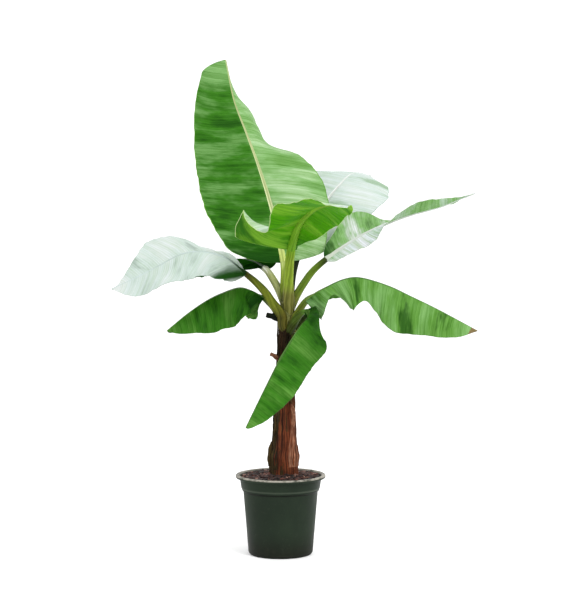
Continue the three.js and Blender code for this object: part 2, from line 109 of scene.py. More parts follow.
LEAVES = {
    "tall": {
        "limb": [[14, 8, 662], [9, 18, 704], [8, 42, 769], [-21, 82, 907], [-62, 115, 1039],
            [-93, 135, 1122], [-126, 150, 1209], [-150, 162, 1321]],
        "face": [[0, -1, 0.1], [0, -1, 0.3], [0.1, -1, 0.3]],
        "sheath": 0.08, "blade": 0.17, "stalk": [10, 8.5], "waves": 3, "swell": 5,
        "left": half([116, 150, 172, 167, 145, 105, 64], edge=[5, 5, 10], ends=[0.14, 0.045]),
        "right": half([106, 122, 146, 156, 154, 142, 130, 112, 108, 100, 85, 60, 25],
            root=[0, 0, 0, 0, 0, 5, 12, 25, 28, 32, 55, 75, 80],
            edge=[0, 0, 5, 8, 12, 30, 55, 95, 98, 100, 110, 115, 110],
            lean=[-16, -8, 0, 4, 4, 4, 4, 6, 6, 6, 0, 0, 0], ends=[0.05, 0.12]),
    },
    "young": {
        "limb": [[22, -12, 673], [21, -24, 732], [28, -48, 812], [49, -100, 879], [78, -180, 914],
            [108, -280, 931], [140, -370, 935], [166, -450, 933]],
        "face": [[0, 1, 0.2], [0, 0.8, 0.8], [0, 0.1, 1], [0, 0.1, 1]],
        "sheath": 0.09, "blade": 0.24, "stalk": [13, 11.5], "waves": 3, "swell": 6,
        "left": half([12, 58, 70, 72, 58, 40, 22], root=[30, 30], edge=[40, 40]),
        "right": half([140, 166, 174, 138, 116, 108, 108, 104, 90, 80, 65, 50, 25],
            root=[25, 25, 30, 40, 32, 12, 0, 0, 0, 0, 0, 0, 0],
            edge=[-20, -40, -65, -10, 20, 5, 0, -10, -12, -12, -14, -14, -14],
            lean=[-12, -12, -12, -5, 0, 0, 0]),
    },
    "left": {
        "limb": [[9, -6, 613], [3, -12, 641], [-19, -20, 670], [-38, -28, 699], [-62, -34, 725],
            [-90, -37, 749], [-118, -39, 773], [-144, -41, 791], [-201, -44, 807], [-258, -50, 801],
            [-323, -60, 768], [-372, -68, 743], [-439, -80, 712]],
        "face": [[1, 0, 0.5], [0.3, -0.3, 1], [0, -0.5, 1], [0, -0.5, 1]],
        "sheath": 0.13, "blade": 0.31, "stalk": [13.5, 8], "waves": 3, "swell": 6,
        "left": half([80, 100, 116, 128, 108, 93, 86, 68, 38], root=[7, 6, 6, 16, 6, 3, 3, 3, 3],
            edge=[7, 6, 4, -80, 0, 3, 3, 3, 3], lean=[-10, 0, 0], ends=[0.1, 0.1], late=8),
        "right": half([50, 70, 85, 90, 124, 122, 68, 32, 12], root=[10, 12, 0, -12, 0],
            edge=[15, 20, 12, -15, 0]),
    },
    "low_left": {
        "limb": [[6, 0, 620], [-20, 6, 662], [-49, 4, 686], [-78, 0, 702], [-107, -6, 710],
            [-157, -16, 695], [-191, -22, 679], [-241, -30, 646], [-299, -40, 599]],
        "face": [[1, 0, 0.5], [0.1, -0.2, 1], [0, -0.2, 1]],
        "sheath": 0.17, "blade": 0.22, "stalk": [10, 7], "waves": 4, "swell": 8,
        "left": half([60, 80, 80, 84, 100, 92, 86, 64, 40, 14], root=[40, 40], edge=[80, 80, 60],
            lean=[-60, -22, 0, 0], ends=[0.03, 0.06]),
        "right": half([85, 85, 88, 90, 80, 50, 20], root=[65, 40, 40], edge=[85, 60, 60],
            lean=[-55, -15, 0, 0], ends=[0.03, 0.1]),
    },
    "low_right": {
        "limb": [[30, -8, 620], [49, -20, 653], [64, -30, 675], [85, -38, 694], [119, -46, 713],
            [164, -54, 734], [200, -62, 740], [278, -78, 720], [340, -90, 692], [409, -104, 659],
            [509, -124, 606]],
        "face": [[-1, 0, 0.5], [-0.2, -0.2, 1], [0, -0.2, 1], [0.1, -0.2, 1]],
        "sheath": 0.08, "blade": 0.13, "stalk": [11, 9], "waves": 4, "swell": 6,
        "left": half([60, 78, 104, 115, 100, 70, 30], root=[30, 30], edge=[60, 60, 50]),
        "right": half([80, 74, 32, 86, 92, 60, 80, 98, 106, 96, 80, 66, 44, 12], root=[40, 40],
            edge=[80, 80, 70], lean=[-25, 0, 0, 0, 0], ends=[0.02, 0.06]),
    },
    "right": {
        "limb": [[25, 2, 657], [40, 6, 688], [62, 10, 723], [85, 12, 754], [125, 16, 789], [168, 20, 819],
            [219, 22, 851], [291, 24, 885], [346, 24, 904], [397, 22, 917], [431, 20, 927],
            [470, 16, 943], [515, 12, 961]],
        "face": [[-1, 0, 0.5], [-0.4, -0.3, 0.8], [0, -0.5, 1], [0, -0.5, 1], [0, -0.2, 1], [0, 0.15, 1],
            [0, 0.15, 1], [0, 0.15, 1]],
        "sheath": 0.09, "blade": 0.27, "stalk": [11, 8], "waves": 3, "swell": 3,
        "left": half([30, 62, 92, 84, 16, 14, 12, 10, 9, 8], root=[-5, -10, 0], edge=[-20, -20, 0],
            lean=[15, 0, 0]),
        "right": half([30, 42, 54, 68, 36, 54, 58, 36, 14, 6], root=[0, 0, -10, -20, -20],
            edge=[0, 0, -20, -30, -30]),
    },
    "back_right": {
        "limb": [[25, 8, 662], [30, 22, 714], [38, 48, 761], [69, 109, 847], [129, 166, 944],
            [162, 215, 982], [191, 275, 1009], [220, 335, 1016], [258, 392, 1004]],
        "face": [[-0.2, -1, 0.4], [-0.1, -0.8, 0.6], [0, -0.4, 0.9], [0.1, -0.1, 1]],
        "sheath": 0.1, "blade": 0.3, "stalk": [8, 7], "waves": 3, "swell": 6,
        "left": half([60, 100, 120, 125, 110, 80, 30], edge=[10, 10, 20]),
        "right": half([60, 100, 125, 140, 130, 100, 50], root=[0, 0, 10], edge=[10, 20, 30],
            lean=[0, 0, -10], ends=[0.06, 0.15]),
    },
    "front": {
        "limb": [[28, -16, 605], [43, -34, 633], [59, -58, 650], [72, -78, 652], [72, -90, 639],
            [54, -98, 617], [25, -102, 572], [-1, -104, 528], [-32, -104, 468], [-61, -103, 410],
            [-90, -102, 350]],
        "face": [[-0.5, 1, 0.5], [-0.6, 0.2, 0.8], [-0.8, -0.6, 0], [-0.8, -0.6, 0], [-0.8, -0.6, 0]],
        "sheath": 0.1, "blade": 0.19, "stalk": [10, 7], "waves": 2, "swell": 5,
        "left": half([26, 92, 87, 81, 74, 52, 20], root=[0, 50, 50, 50, 50, 50, 50],
            edge=[0, 60, 60, 60, 60, 60, 60], ends=[0.12, 0.1]),
        "right": half([30, 58, 64, 61, 52, 38, 16], root=[50, 50], edge=[60, 60], ends=[0.12, 0.1]),
    },
    "back_left": {
        "limb": [[22, 8, 640], [9, 18, 674], [-4, 30, 703], [-19, 42, 729], [-36, 58, 753],
            [-61, 90, 771], [-95, 140, 779], [-135, 200, 778], [-181, 265, 773], [-229, 330, 747]],
        "face": [[0.8, -0.5, 0.5], [0.1, -0.1, 1], [0, 0, 1]],
        "sheath": 0.16, "blade": 0.31, "stalk": [11, 9], "waves": 3, "swell": 5,
        "left": half([46, 64, 76, 80, 70, 50, 20], root=[20, 10, 0, 0], edge=[40, 25, 10, 10]),
        "right": half([46, 72, 84, 80, 70, 50, 20], edge=[8, 5], ends=[0.16, 0.1]),
    },
}
print("leaves:", ", ".join(LEAVES))

# %% [markdown]
# A smooth list lets a few numbers describe a whole edge. The same cubic blend reads a
# width, an angle or a direction anywhere between two neighbours of a list.

# %% Smooth values from short lists
def list_at(values, t):
    values = np.asarray(values, dtype=float)
    last = len(values) - 1
    place = np.clip(t, 0.0, 1.0) * last
    i = np.minimum(last - 1, np.floor(place).astype(int))
    f = place - i
    a, b, c, d = (values[np.clip(i + k, 0, last)] for k in (-1, 0, 1, 2))
    if values.ndim == 2:
        f = f[:, None]
    f2, f3 = f * f, f * f * f
    return ((2 * f3 - 3 * f2 + 1) * b + (f3 - 2 * f2 + f) * (c - a) / 2
            + (3 * f2 - 2 * f3) * c + (f3 - f2) * (d - b) / 2)


def smooth_step(low, high, value):
    share = np.clip((value - low) / (high - low), 0.0, 1.0)
    return share * share * (3.0 - 2.0 * share)


def unit(rows):
    return rows / np.linalg.norm(rows, axis=-1, keepdims=True)


print("a list of 0, 10, 0 has", list_at([0, 10, 0], np.array([0.25]))[0], "at a quarter")

# %% [markdown]
# The limb's line is a curve through its points that never overshoots, because it allows
# for how far apart the points are. It is measured once, so that a share of its length
# always means the same place, and each place gets a small frame: where the line goes,
# where the leaf's upper side looks, and where its left half lies.

# %% A limb's line with its upper side
def curve_points(points, steps=60):
    p = np.array(points, dtype=float)
    p = np.vstack([2 * p[0] - p[1], p, 2 * p[-1] - p[-2]])
    gaps = np.maximum(np.linalg.norm(np.diff(p, axis=0), axis=1) ** 0.5, 1e-4)
    line = []
    for i in range(1, len(p) - 2):
        d0, d1, d2 = gaps[i - 1:i + 2]
        a, b, c, d = p[i - 1:i + 3]
        t1 = ((b - a) / d0 - (c - a) / (d0 + d1) + (c - b) / d1) * d1
        t2 = ((c - b) / d1 - (d - b) / (d1 + d2) + (d - c) / d2) * d1
        t = np.linspace(0.0, 1.0, steps, endpoint=False)[:, None]
        line.append(b + t1 * t + (-3 * b + 3 * c - 2 * t1 - t2) * t**2 + (2 * b - 2 * c + t1 + t2) * t**3)
    return np.vstack(line + [p[-2:-1]])


class Limb:
    def __init__(self, points, face):
        self.line = curve_points(points)
        steps = np.linalg.norm(np.diff(self.line, axis=0), axis=1)
        self.lengths = np.concatenate([[0.0], np.cumsum(steps)])
        self.length = self.lengths[-1]
        self.way = unit(np.gradient(self.line, self.lengths, axis=0))
        self.face = face

    def at(self, share):
        share = np.asarray(share, dtype=float)
        at, along = (
            np.stack([np.interp(share * self.length, self.lengths, column) for column in rows.T], axis=1)
            for rows in (self.line, self.way))
        along = unit(along)
        up = list_at(self.face, share)
        up = unit(up - (up * along).sum(axis=1, keepdims=True) * along)
        return at, along, up, unit(np.cross(up, along))


limbs = {name: Limb(leaf["limb"], leaf["face"]) for name, leaf in LEAVES.items()}
print("limb lengths in mm:", {name: round(limb.length) for name, limb in limbs.items()})

# %% [markdown]
# ## From points to pieces
#
# Every piece is a mesh made from arrays: points, faces, a material number for each face
# and a pair of lengths for each point that says how far along and across the piece it
# lies. Veins and fibres follow these two lengths, so they run with the growth of the leaf
# instead of straight through space. Edges sharper than a limit stay crisp.

# %% Make a mesh piece
# A millimetre in metres, and the angle from which an edge stays sharp
MILLIMETRE = 0.001
CRISP = math.radians(50.0)


def add_lengths(mesh, label, places):
    corners = np.empty(len(mesh.loops), dtype=np.int32)
    mesh.loops.foreach_get("vertex_index", corners)
    layer = mesh.uv_layers.new(name=label)
    layer.data.foreach_set("uv", np.asarray(places)[corners].astype(np.float32).ravel())


def make_piece(name, points, faces, materials, way, node, numbers=None, row=None):
    mesh = bpy.data.meshes.new(name)
    mesh.from_pydata((points * MILLIMETRE).tolist(), [], faces)
    for material in materials:
        mesh.materials.append(material)
    if numbers is not None:
        mesh.polygons.foreach_set("material_index", np.asarray(numbers, dtype=np.int32))
    add_lengths(mesh, "way", way * MILLIMETRE)
    if row is not None:
        add_lengths(mesh, "row", row)
    mesh.polygons.foreach_set("use_smooth", np.ones(len(mesh.polygons), dtype=bool))
    mesh.set_sharp_from_angle(angle=CRISP)
    mesh.update()
    piece = bpy.data.objects.new(name, mesh)
    bpy.context.scene.collection.objects.link(piece)
    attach(piece, "root")
    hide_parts(node)
    print(name, "has", len(mesh.polygons), "faces")

# %% Join rings of points into a skin
def turns_of(count):
    return np.linspace(0, 2 * np.pi, count, endpoint=False)[None, :]


def side_by_side(*columns):
    return np.stack(np.broadcast_arrays(*columns), axis=-1)


def ring_faces(rows, count):
    i = np.arange(rows - 1)[:, None] * count
    k = np.arange(count)[None, :]
    n = (k + 1) % count
    return np.stack([i + k, i + n, i + n + count, i + k + count], axis=-1).reshape(-1, 4)


# A fan of triangles closes each end, so the faces are a list of triangles and quads
def fan_faces(rows, count):
    foot, top = rows * count, rows * count + 1
    last = (rows - 1) * count
    around = [(k, (k + 1) % count) for k in range(count)]
    fans = [[foot, b, a] for a, b in around] + [[top, last + a, last + b] for a, b in around]
    return ring_faces(rows, count).tolist() + fans


def skin_piece(name, rings, way, material, node, slot):
    rows, count = rings.shape[:2]
    points, way = (
        np.vstack([grid.reshape(rows * count, -1), grid[0].mean(axis=0), grid[-1].mean(axis=0)])
        for grid in (rings, way))
    make_piece(name, points, fan_faces(rows, count), [material], way, node)


print("a ring skin of 3 rows and 8 points has", len(ring_faces(3, 8)), "faces")

# %% [markdown]
# ## Finishes from nodes
#
# All colour and relief comes from shader nodes, so nothing depends on a picture file.
# A small helper keeps the node code short: it adds nodes, joins them and reads like the
# arithmetic it stands for. Colours are written as they look on a screen, from 0 to 255,
# and turned into the share of the room's light that the surface throws back.

# %% A short way to write nodes
ROOM_LIGHT = 1.5


def screen(r, g, b):
    def linear(value):
        value /= 255.0
        return (value / 12.92 if value <= 0.04045 else ((value + 0.055) / 1.055) ** 2.4) / ROOM_LIGHT
    return (linear(r), linear(g), linear(b), 1.0)


class Nodes:
    def __init__(self, tree):
        self.tree = tree

    def put(self, target, value):
        if isinstance(value, bpy.types.NodeSocket):
            self.tree.links.new(value, target)
        elif value is not None:
            target.default_value = value

    def add(self, kind, settings=None, **values):
        node = self.tree.nodes.new(kind)
        for key, value in (settings or {}).items():
            setattr(node, key, value)
        for key, value in values.items():
            self.put(node.inputs[key.replace("_", " ")], value)
        return node

    def maths(self, operation, a, b=None):
        node = self.add("ShaderNodeMath", {"operation": operation})
        for socket, value in zip(node.inputs, (a, b)):
            self.put(socket, value)
        return node.outputs[0]

    def times(self, a, b):
        return self.maths("MULTIPLY", a, b)

    def plus(self, a, b):
        return self.maths("ADD", a, b)

    def minus(self, a, b):
        return self.maths("SUBTRACT", a, b)

    def over(self, a, b):
        return self.maths("DIVIDE", a, b)

    def split(self, vector):
        return self.add("ShaderNodeSeparateXYZ", Vector=vector).outputs

    def stretch(self, along, across, along_scale, across_scale):
        x, y = self.times(along, along_scale), self.times(across, across_scale)
        return self.add("ShaderNodeCombineXYZ", X=x, Y=y).outputs[0]

    def mix(self, factor, a, b, blend="MIX"):
        node = self.add("ShaderNodeMix", {"data_type": "RGBA", "blend_type": blend})
        self.put(node.inputs[0], factor)
        self.put(node.inputs[6], a)
        self.put(node.inputs[7], b)
        return node.outputs[2]

    def tint(self, colour, r, g, b):
        return self.mix(1.0, colour, (r, g, b, 1.0), "MULTIPLY")

    def lay(self, colour, tone, pattern, low, high, most=1.0):
        return self.mix(self.spread(pattern, low, high, 0.0, most), colour, tone)

    def spread(self, value, low, high, new_low=0.0, new_high=1.0):
        limits = {"From_Min": low, "From_Max": high, "To_Min": new_low, "To_Max": new_high}
        node = self.add("ShaderNodeMapRange", {"interpolation_type": "SMOOTHSTEP"}, Value=value, **limits)
        return node.outputs[0]

    def noise(self, vector, scale, detail=3.0, roughness=0.5):
        look = {"Scale": scale, "Detail": detail, "Roughness": roughness}
        return self.add("ShaderNodeTexNoise", Vector=vector, **look).outputs["Fac"]

    def group(self, tree, **values):
        return self.add("ShaderNodeGroup", {"node_tree": tree}, **values).outputs


# An input without a number is a vector, the others are numbers with that start value
def new_group(name, takes, gives):
    tree = bpy.data.node_groups.new(name, "ShaderNodeTree")
    for label, value in takes.items():
        kind = "NodeSocketVector" if value is None else "NodeSocketFloat"
        socket = tree.interface.new_socket(name=label, in_out="INPUT", socket_type=kind)
        if value is not None:
            socket.default_value = value
    for label in gives:
        tree.interface.new_socket(name=label, in_out="OUTPUT", socket_type="NodeSocketFloat")
    nodes = Nodes(tree)
    return tree, nodes, nodes.add("NodeGroupInput").outputs


print("white is", screen(255, 255, 255))

# %% [markdown]
# ### Veins of a leaf
#
# Side veins leave the midrib in close parallel lines. They lie in shallow furrows, the
# strips between them differ a little in tone, and thin streaks follow them. The group
# takes the lengths along and across the leaf and gives a mask of the veins, a tone for
# each strip, streaks, and a height.

# %% Node group: leaf veins
leaf_veins, n, take = new_group(
    "leaf_veins", {"Way": None, "Spacing": 0.006, "Strip": 0.03}, ["Vein", "Tone", "Streak", "Height"])
along, across = n.split(take["Way"])[:2]
along = n.plus(along, n.times(n.noise(take["Way"], 25.0, 1.0), 0.004))
turns = n.over(along, take["Spacing"])
vein = n.spread(n.maths("PINGPONG", turns, 0.5), 0.13, 0.0)
strip = n.over(along, take["Strip"])
tone = n.add("ShaderNodeTexNoise", {"noise_dimensions": "1D"}, W=strip, Scale=1.0, Detail=2.0).outputs[0]
streak = n.noise(n.stretch(along, across, 420.0, 9.0), 1.0, 4.0, 0.6)
furrow = n.times(n.maths("SINE", n.times(turns, 2.0 * math.pi)), 0.35)
n.add("NodeGroupOutput", Vein=vein, Tone=tone, Streak=streak, Height=n.plus(furrow, streak))
print("group", leaf_veins.name, "has", len(leaf_veins.nodes), "nodes")

# %% [markdown]
# ### Mottling and fibres
#
# Mottling is a soft cloudy change of tone that no living or moulded surface lacks.
# Fibres are its long thin relative, for stalks, dry sheaths and bark: noise stretched
# along the piece, with a few deeper grooves.

# %% Node groups: mottling and fibres
mottling, n, take = new_group("mottling", {"Place": None, "Scale": 20.0}, ["Cloud", "Speck"])
cloud = n.noise(take["Place"], take["Scale"], 4.0)
fine = n.noise(take["Place"], n.times(take["Scale"], 12.0), 2.0)
n.add("NodeGroupOutput", Cloud=n.spread(cloud, 0.3, 0.7), Speck=n.spread(fine, 0.62, 0.72))

fibres, n, take = new_group(
    "fibres", {"Way": None, "Across": 500.0, "Along": 12.0}, ["Fibre", "Groove", "Height"])
along, across = n.split(take["Way"])[:2]
bend = n.times(n.noise(take["Way"], 18.0, 2.0), 0.012)
stretched = n.stretch(along, n.plus(across, bend), take["Along"], take["Across"])
fibre = n.noise(stretched, 1.0, 5.0, 0.65)
groove = n.spread(n.noise(stretched, 0.45, 2.0), 0.42, 0.33)
n.add("NodeGroupOutput", Fibre=fibre, Groove=groove, Height=n.minus(fibre, groove))
print("groups", mottling.name, "and", fibres.name, "are ready")

# %% [markdown]
# ### Leaf blades
#
# A blade has a waxy upper side that mirrors a bright room at a low angle, so a leaf that
# is mid green from above looks almost white from the side; here that reflection is painted
# into the pale greens of the upper sides. Its tone also changes from strip to strip, where
# light and shade fall on the folds along its veins, and this too is painted. The finish goes
# from a dark foot of painted shade through the blade's own green to a tip painted in the
# paler green of its sheen, lays painted light and shade of the folds over it by noise that
# is stretched along the veins, and then works in strips and streaks of painted sheen and
# shade, and veins. Each half has a finish of its own.

# %% Node group: light and shade of a blade's folds
fold_light, n, take = new_group(
    "fold_light", {"Way": None, "Along": 16.0, "Across": 5.0}, ["Lit", "Shaded"])
along, across = n.split(take["Way"])[:2]
fold = n.noise(n.stretch(along, across, take["Along"], take["Across"]), 1.0, 4.0, 0.6)
n.add("NodeGroupOutput", Lit=n.spread(fold, 0.46, 0.62), Shaded=n.spread(fold, 0.47, 0.36))
print("group", fold_light.name, "has", len(fold_light.nodes), "nodes")

# %% Start and end of a material
def new_material(name):
    material = bpy.data.materials.new(name)
    material.use_nodes = True
    material.node_tree.nodes.clear()
    nodes = Nodes(material.node_tree)
    shader = nodes.add("ShaderNodeBsdfPrincipled")
    nodes.put(nodes.add("ShaderNodeOutputMaterial").inputs[0], shader.outputs[0])
    return material, nodes, shader


def end_material(n, shader, colour, roughness, shine=0.5, relief=None):
    n.put(shader.inputs["Base Color"], colour)
    n.put(shader.inputs["Roughness"], roughness)
    n.put(shader.inputs["Specular IOR Level"], shine)
    if relief:
        height, strength, distance = relief
        bump = n.add("ShaderNodeBump", Height=height, Strength=strength, Distance=distance)
        n.put(shader.inputs["Normal"], bump.outputs[0])


def lengths(nodes, label="way"):
    return nodes.add("ShaderNodeUVMap", {"uv_map": label}).outputs[0]


def object_place(nodes):
    return nodes.add("ShaderNodeTexCoord").outputs["Object"]


def colours_along(n, share, stops):
    node = n.add("ShaderNodeValToRGB", Fac=share)
    node.color_ramp.interpolation = "EASE"
    points = node.color_ramp.elements
    while len(points) < len(stops):
        points.new(0.5)
    for point, (place, colour) in zip(points, stops):
        point.position, point.color = place, screen(*colour)
    return node.outputs[0]


print("a material starts with a Principled shader and its output")

# %% Material of a blade's side
# Shares of the blade's length where the painted shade of the foot gives way to the own green, and where
# the painted sheen of the tip begins
FOOT_END, TIP_START = 0.12, 0.85


def leaf_side(name, length, greens, lit, shaded, gloss, streaks, shine):
    deep, own, sheen = greens
    material, n, shader = new_material(name)
    way = lengths(n)
    along, across = n.split(way)[:2]
    brush = n.noise(n.stretch(along, across, 90.0, 14.0), 1.0, 3.0)
    lines = n.group(leaf_veins, Way=way, Spacing=0.0065, Strip=0.016)
    clouds = n.group(mottling, Place=object_place(n), Scale=14.0)
    folds = n.group(fold_light, Way=way)
    share = n.plus(n.over(along, length * MILLIMETRE), n.times(n.minus(brush, 0.5), 0.05))
    # The foot is painted shade in the deep green, the tip is painted sheen, and the lit and shaded folds
    # are painted light and shade
    colour = colours_along(n, share, [(0.0, deep), (FOOT_END, own), (TIP_START, own), (1.0, sheen)])
    colour = n.mix(n.times(folds["Lit"], lit), colour, screen(*sheen))
    colour = n.mix(n.times(folds["Shaded"], shaded), colour, screen(*deep))
    # Darker and paler lay painted shade and painted sheen in strips and streaks along the veins; the
    # veins are paler in their own colour
    darker = n.tint(colour, 0.42, 0.6, 0.25)
    paler = n.tint(colour, 1.55, 1.35, 1.75)
    for pattern, share in ((lines["Streak"], streaks), (lines["Tone"], streaks * 0.6)):
        colour = n.mix(share, colour, n.lay(darker, paler, pattern, 0.4, 0.6))
    colour = n.mix(n.times(clouds["Cloud"], 0.1), colour, darker)
    colour = n.mix(n.times(lines["Vein"], 0.3), colour, paler)
    roughness = n.spread(lines["Streak"], 0.3, 0.8, gloss - 0.05, gloss + 0.14)
    end_material(n, shader, colour, roughness, shine, (lines["Height"], 0.25, 0.0012))
    return material

# %% Colours of the blades
# A few greens, from the darkest to the palest
# The palest greens stand for the white room's reflection painted onto waxy upper sides, and the darkest
# for painted shade
GREENS = {
    "night": (10, 40, 5), "deep": (25, 75, 12), "leaf": (56, 120, 26), "fresh": (75, 155, 5),
    "grass": (95, 150, 60), "lime": (130, 190, 50), "light": (130, 180, 105), "pale": (180, 215, 160),
    "silver": (205, 222, 212), "white_sheen": (228, 234, 230),
}
print(len(GREENS), "greens")

# %% Greens of each side of the blades
# For each side: the green of its painted shade at the foot and in the folds, its own green
# and that of its painted sheen on lit folds and at the tip, and how strongly the painted
# light and shade show; the pale own greens of the silvery sides are painted reflection
LEAF_GREENS = {
    "tall": {
        "left": ("deep", "leaf", "light", 0.6, 0.7), "right": ("grass", "light", "pale", 0.7, 0.7),
        "under": ("leaf", "grass", "light", 0.4, 0.4)},
    # The young leaf's underside is bright fresh green as painted light shining through it
    "young": {
        "left": ("light", "pale", "silver", 0.5, 0.2), "right": ("light", "pale", "silver", 0.6, 0.2),
        "under": ("leaf", "fresh", "lime", 0.7, 0.3)},
    "left": {
        "left": ("deep", "silver", "white_sheen", 0.5, 0.3), "right": ("deep", "silver", "white_sheen", 0.5, 0.35),
        "under": ("night", "deep", "leaf", 0.4, 0.4)},
    "low_left": {
        "left": ("deep", "leaf", "grass", 0.7, 0.9), "right": ("deep", "leaf", "grass", 0.4, 0.5),
        "under": ("deep", "leaf", "grass", 0.5, 0.4)},
    "low_right": {
        "left": ("deep", "grass", "light", 0.7, 0.8), "right": ("deep", "grass", "light", 0.7, 0.8),
        "under": ("leaf", "grass", "light", 0.4, 0.4)},
    "right": {
        "left": ("deep", "light", "white_sheen", 0.8, 0.7), "right": ("light", "silver", "white_sheen", 0.7, 0.4),
        "under": ("grass", "light", "silver", 0.5, 0.4)},
    "back_right": {
        "left": ("light", "silver", "white_sheen", 0.5, 0.3), "right": ("grass", "silver", "white_sheen", 0.5, 0.5),
        "under": ("leaf", "grass", "light", 0.4, 0.4)},
    "front": {
        "left": ("deep", "leaf", "grass", 0.8, 0.9), "right": ("night", "deep", "leaf", 0.5, 0.6),
        "under": ("night", "deep", "leaf", 0.4, 0.5)},
    # back_left is dark all over as painted shade, where it lies deep in the crown under the other leaves
    "back_left": {
        "left": ("night", "deep", "leaf", 0.1, 0.9), "right": ("night", "deep", "leaf", 0.1, 0.9),
        "under": ("night", "night", "deep", 0.3, 0.5)},
}
# How strongly the strips between the veins differ, partly in their own tone and partly in painted sheen
# and shade
STREAKS = {"left": 0.12, "back_right": 0.14}
OTHER_STREAKS = 0.45
leaf_finish = {}
for name, sides in LEAF_GREENS.items():
    blade_length = limbs[name].length * (1 - LEAVES[name]["blade"])
    for side, (*greens, lit, shaded) in sides.items():
        leaf_finish[name, side] = leaf_side(
            f"blade_{name}_{side}", blade_length, [GREENS[green] for green in greens], lit, shaded,
            gloss=0.5 if side == "under" else 0.38, streaks=STREAKS.get(name, OTHER_STREAKS),
            shine=0.0 if name == "back_left" else 0.04)
print(len(leaf_finish), "blade finishes")

# %% [markdown]
# ### Midribs, margins and stalks
#
# Midrib and stalk are smooth and juicy: pale yellow green, with painted shade along the
# channel of some midribs and long fine fibres under the skin, and bands of painted highlight
# and shade along the stalks. The stalks of older leaves are olive, the newest is brightest.
# The margin of a blade is a thin line, pale on the young and silvery leaves as a painted
# highlight and reflection, and an old tip is dry and brown.

# %% Material of ribs, stalks and dry edges
def rib_finish(name, length, stops, contrast, roughness, relief=0.25, channel=0.0, broad=0.0):
    material, n, shader = new_material(name)
    way = lengths(n)
    along, across = n.split(way)[:2]
    lines = n.group(fibres, Way=way, Across=700.0, Along=9.0)
    stripes = n.group(fibres, Way=way, Across=260.0, Along=6.0)
    clouds = n.group(mottling, Place=object_place(n), Scale=30.0)
    colour = colours_along(n, n.over(along, length * MILLIMETRE), stops)
    darker = n.tint(colour, 0.3, 0.34, 0.2)
    paler = n.tint(colour, 1.5, 1.4, 1.8)
    # Stripes along the stalk, partly its own stripes and partly painted highlight and shade that round it
    colour = n.lay(colour, paler, stripes["Fibre"], 0.52, 0.66, contrast)
    colour = n.lay(colour, darker, stripes["Fibre"], 0.5, 0.38, 0.8 * contrast)
    colour = n.mix(n.times(stripes["Groove"], contrast), colour, darker)
    # Broad strands lay painted highlight and painted shade along the stalk
    if broad:
        strands = n.group(fibres, Way=way, Across=110.0, Along=3.0)["Fibre"]
        lit = n.tint(colour, 1.7, 1.6, 2.4)
        colour = n.lay(colour, lit, strands, 0.5, 0.62, broad)
        colour = n.lay(colour, darker, strands, 0.5, 0.38, broad)
    colour = n.lay(colour, darker, lines["Fibre"], 0.45, 0.7, 0.5 * contrast)
    colour = n.mix(n.times(clouds["Cloud"], 0.3 * contrast), colour, darker)
    # Painted shade along the midrib's channel
    if channel:
        middle = n.maths("ABSOLUTE", across)
        colour = n.lay(colour, darker, middle, 0.0032, 0.0012, channel)
    roughness = n.spread(lines["Fibre"], 0.2, 0.8, roughness, roughness + 0.15)
    end_material(n, shader, colour, roughness, 0.1, (lines["Height"], relief, 0.0006))
    return material

# %% Colours of stalks, midribs and margins
# For each leaf: the stalk's colours where it leaves the stem, in its middle and where the
# blade begins, the midrib's at the foot of the blade and further out, and the margin's
# Painted light: the dark tops of the left and right stalks, back_right's dark stalk and back_left's dark
# midrib and margin are painted shade; the near-white ribs and margins of the silvery leaves are painted
# reflection, and the young leaf's pale margin a painted highlight
LEAF_SKINS = {
    "tall": ((112, 116, 44), (140, 164, 50), (196, 214, 120),
             (214, 230, 130), (230, 240, 180), (112, 168, 60)),
    "young": ((136, 136, 64), (156, 184, 56), (140, 184, 40),
              (120, 176, 36), (140, 196, 52), (206, 232, 160)),
    "left": ((96, 92, 28), (112, 124, 28), (70, 74, 14),
             (26, 62, 16), (208, 224, 220), (186, 200, 192)),
    "low_left": ((84, 84, 24), (84, 100, 24), (96, 130, 44),
                 (70, 110, 40), (160, 192, 140), (96, 140, 50)),
    "low_right": ((96, 96, 34), (112, 128, 40), (110, 136, 50),
                  (110, 140, 60), (84, 130, 60), (92, 132, 62)),
    "right": ((120, 128, 48), (112, 142, 40), (58, 76, 16),
              (214, 222, 206), (222, 230, 222), (190, 204, 180)),
    "back_right": ((30, 34, 10), (28, 40, 8), (40, 60, 14),
                   (150, 190, 100), (240, 244, 240), (190, 210, 200)),
    "front": ((66, 80, 20), (84, 110, 30), (96, 140, 50),
              (70, 110, 36), (100, 150, 70), (90, 124, 66)),
    "back_left": ((136, 140, 66), (176, 184, 112), (222, 226, 190),
                  (30, 70, 14), (30, 70, 14), (14, 40, 6)),
}
# Leaves whose midrib has painted shade along its groove, and the length in which a rib's colours run out
GROOVED = ("young", "tall", "front")
RIB_LENGTH = 500.0
stalk_finish, midrib_finish, margin_finish = {}, {}, {}
for name, (crown, middle, top, foot, out, edge) in LEAF_SKINS.items():
    stalk_length = limbs[name].length * LEAVES[name]["blade"]
    stalk_finish[name] = rib_finish(
        f"stalk_skin_{name}", stalk_length, [(0.12, crown), (0.4, middle), (0.75, middle), (1.0, top)],
        0.7, 0.5, relief=0.4, broad=0.7)
    midrib_finish[name] = rib_finish(
        f"midrib_{name}", RIB_LENGTH, [(0.04, foot), (0.16, out)], 0.3, 0.45, relief=0.15,
        channel=0.5 if name in GROOVED else 0.0)
    margin_finish[name] = rib_finish(f"margin_{name}", RIB_LENGTH, [(0.0, edge), (1.0, edge)], 0.4, 0.6)
tip_colours = [(0.0, (130, 118, 72)), (1.0, (140, 122, 80))]
tip_finish = rib_finish("dry_tip", RIB_LENGTH, tip_colours, 0.5, 0.7, relief=0.5)
